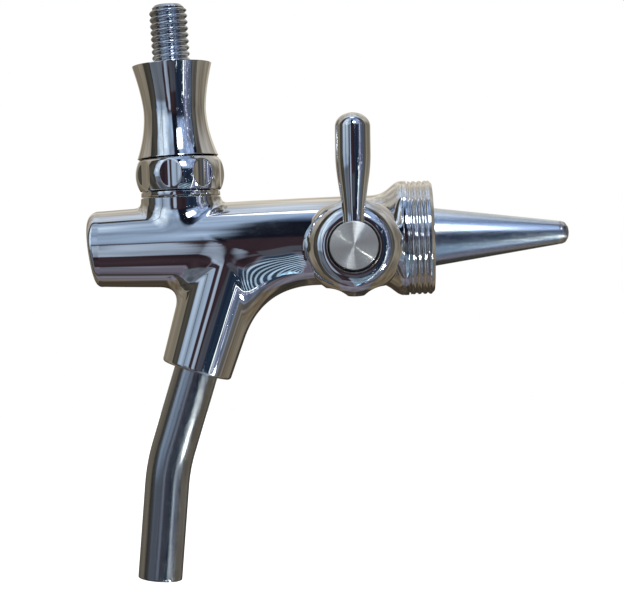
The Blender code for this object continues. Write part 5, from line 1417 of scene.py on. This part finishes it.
class FAUCET_OT_stage(PieceOperator):
    """Set up the camera, the floor, the lamps and the tent of cards"""

    bl_idname = "faucet.stage"
    bl_label = "Stage"

    def camera(self, settings):
        camera = bpy.data.objects.new("camera", bpy.data.cameras.new("camera"))
        camera.location = settings.camera_place
        camera.rotation_euler = settings.camera_turn
        camera.data.lens = settings.lens
        camera.data.clip_start = 0.01
        bpy.context.scene.collection.objects.link(camera)
        bpy.context.scene.camera = camera

    def seen_share(self, wiring):
        """One where a camera, glossy or transmission ray looks, else nought."""
        path = wiring.add("ShaderNodeLightPath").outputs
        share = wiring.math("ADD", path["Is Camera Ray"], path["Is Glossy Ray"])
        return wiring.math("MINIMUM", wiring.math("ADD", share, path["Is Transmission Ray"]), 1.0)

    def world(self):
        world = bpy.data.worlds.new("studio")
        bpy.context.scene.world = world
        world.use_nodes = True
        wiring = Wiring(world.node_tree)
        tree = world.node_tree
        shade = wiring.blend(self.seen_share(wiring), (0.62, 0.62, 0.62, 1.0), (1.0, 1.0, 1.0, 1.0))
        wiring.feed(tree.nodes["Background"].inputs["Color"], shade)

    def floor(self, settings):
        half = settings.floor_half
        around = ((-half, -half), (half, -half), (half, half), (-half, half))
        points = [(x, y, settings.floor_height) for x, y in around]
        floor = mesh_piece("floor", points, [(0, 1, 2, 3)])
        made, wiring, shader = new_material("pale_floor")
        shader.inputs["Base Color"].default_value = (0.82, 0.82, 0.82, 1.0)
        shader.inputs["Roughness"].default_value = 0.9
        shader.inputs["Emission Color"].default_value = (1.0, 1.0, 1.0, 1.0)
        glow = wiring.math("MULTIPLY", self.seen_share(wiring), 0.75)
        wiring.feed(shader.inputs["Emission Strength"], glow)
        floor.data.materials.append(made)

    def lamp(self, name, place, size, power, tone):
        light = bpy.data.lights.new(name, "AREA")
        light.shape = "SQUARE"
        light.size = size
        light.energy = power
        light.color = tone
        lamp = bpy.data.objects.new(name, light)
        lamp.location = place
        lamp.rotation_euler = (-Vector(place)).to_track_quat("-Z", "Y").to_euler()
        lamp.visible_glossy = False
        lamp.visible_camera = False
        bpy.context.scene.collection.objects.link(lamp)

    def between(self, wiring, value, low, high, soft):
        """One where the value lies between two limits with soft edges, else nought."""
        enter = wiring.ramp(value, low - soft / 2, low + soft / 2, 0.0, 1.0, smooth=True)
        leave = wiring.ramp(value, high - soft / 2, high + soft / 2, 1.0, 0.0, smooth=True)
        return wiring.math("MULTIPLY", enter, leave)

    def patch(self, wiring, azimuth, elevation, *limits):
        """One inside a patch of directions, given as the limits and softness of each angle."""
        across = self.between(wiring, azimuth, *limits[:3])
        return wiring.math("MULTIPLY", across, self.between(wiring, elevation, *limits[3:]))

    def tent(self, settings):
        """A glowing tent round the faucet that only its gloss sees, with cards of painted light and shade at set
        directions.
        """
        low, high = CAD_BOX
        middle = (low + high) / 2
        turns = [math.pi / 2 * step / 32 for step in range(-32, 33)]
        reach = settings.tent_radius
        half_circle = [(reach * math.cos(turn), reach * math.sin(turn)) for turn in turns]
        piece = lathe("card_tent", half_circle, 64)
        piece.data.transform(Matrix.Translation(middle))
        made, wiring, shader = new_material("card_tent")
        tree = made.node_tree
        tree.nodes.remove(shader)
        place = object_place(wiring)
        away = wiring.add("ShaderNodeVectorMath", place, tuple(middle), operation="SUBTRACT").outputs[0]
        way = wiring.add("ShaderNodeVectorMath", away, operation="NORMALIZE").outputs[0]
        parts = wiring.add("ShaderNodeSeparateXYZ", way).outputs
        azimuth = wiring.math("ARCTAN2", parts[0], wiring.math("MULTIPLY", parts[1], -1.0))
        azimuth = wiring.math("DEGREES", azimuth)
        elevation = wiring.math("DEGREES", wiring.math("ARCSINE", parts[2]))
        ripple = noise(wiring, way, 2.2, 3.0)
        azimuth = wiring.math("ADD", azimuth, wiring.ramp(ripple, 0.3, 0.7, -2.0, 2.0))
        light = (*settings.room_shade, 1.0)
        bits = wiring.ramp(noise(wiring, way, 30.0, 2.0), 0.53, 0.62, 0.0, 1.0)
        for _, left, right, bottom, top, soft, tone, strength, gaps in CARDS:
            share = self.patch(wiring, azimuth, elevation, left, right, soft, bottom, top, soft)
            if gaps:
                share = wiring.math("MULTIPLY", share, wiring.ramp(bits, 0.0, 1.0, 1.0 - gaps, 1.0))
            light = wiring.blend(share, light, tuple(strength * c for c in tone) + (1.0,))
        slope = wiring.math("ADD", elevation, wiring.math("MULTIPLY", azimuth, settings.slat_slant))
        slats = wiring.math("SINE", wiring.math("MULTIPLY", slope, settings.slat_rate))
        blind = self.patch(wiring, azimuth, elevation, *BLIND)
        shown = wiring.math("MULTIPLY", wiring.ramp(slats, 0.0, 0.6, 0.0, 1.0), blind)
        light = wiring.blend(shown, light, (*settings.slat_tone, 1.0))
        folds = noise(wiring, way, 5.0, 3.0, (1.0, 1.0, 0.35))
        # Painted glints: bright specks on the tent near the window, which the plating shows as sparkles.
        specks = wiring.ramp(noise(wiring, way, 15.0, 2.0), 0.66, 0.69, 0.0, 1.0)
        near_window = self.patch(wiring, azimuth, elevation, *SPARKLES)
        light = wiring.blend(wiring.math("MULTIPLY", specks, near_window), light, SPARKLE_LIGHT)
        strength = wiring.ramp(folds, 0.3, 0.7, 0.6, 1.35)
        surface = wiring.add("ShaderNodeEmission", light, strength).outputs[0]
        wiring.feed(tree.nodes["Material Output"].inputs["Surface"], surface)
        piece.data.materials.append(made)
        piece.visible_camera = False
        piece.visible_diffuse = False
        piece.visible_shadow = False

    def build(self, scene):
        settings = scene.faucet_stage
        scene.view_settings.view_transform = "Standard"
        self.camera(settings)
        self.world()
        self.floor(settings)
        self.tent(settings)
        self.lamp("key_lamp", (-0.35, -0.5, 0.6), 0.5, 6.0, (1.0, 0.99, 0.97))
        self.lamp("fill_lamp", (0.5, -0.4, 0.1), 0.5, 3.0, (0.96, 0.98, 1.0))


OPERATORS = (
    FAUCET_OT_stage,
    FAUCET_OT_inner_pieces,
    FAUCET_OT_casting,
    FAUCET_OT_rear_flange,
    FAUCET_OT_neck_ring,
    FAUCET_OT_bonnet_nut,
    FAUCET_OT_collar,
    FAUCET_OT_stud,
    FAUCET_OT_flow_nut,
    FAUCET_OT_flow_head,
    FAUCET_OT_flow_arm,
    FAUCET_OT_spout_tube,
    FAUCET_OT_cone,
)


class FAUCET_PT_pieces(bpy.types.Panel):
    """Lists the faucet's pieces in the sidebar."""

    bl_idname = "FAUCET_PT_pieces"
    bl_label = "Flow Control Faucet"
    bl_space_type = "VIEW_3D"
    bl_region_type = "UI"
    bl_category = "Faucet"

    def draw(self, context):
        for operator in OPERATORS:
            self.layout.operator(operator.bl_idname)


CLASSES = (*SIZE_GROUPS.values(), *OPERATORS, FAUCET_PT_pieces)


def register():
    for item in CLASSES:
        bpy.utils.register_class(item)
    for name, group in SIZE_GROUPS.items():
        setattr(bpy.types.Scene, name, PointerProperty(type=group))


def unregister():
    for name in SIZE_GROUPS:
        delattr(bpy.types.Scene, name)
    for item in reversed(CLASSES):
        bpy.utils.unregister_class(item)


def main():
    register()
    for operator in OPERATORS:
        group, name = operator.bl_idname.split(".")
        getattr(getattr(bpy.ops, group), name)()


if __name__ == "__main__":
    main()
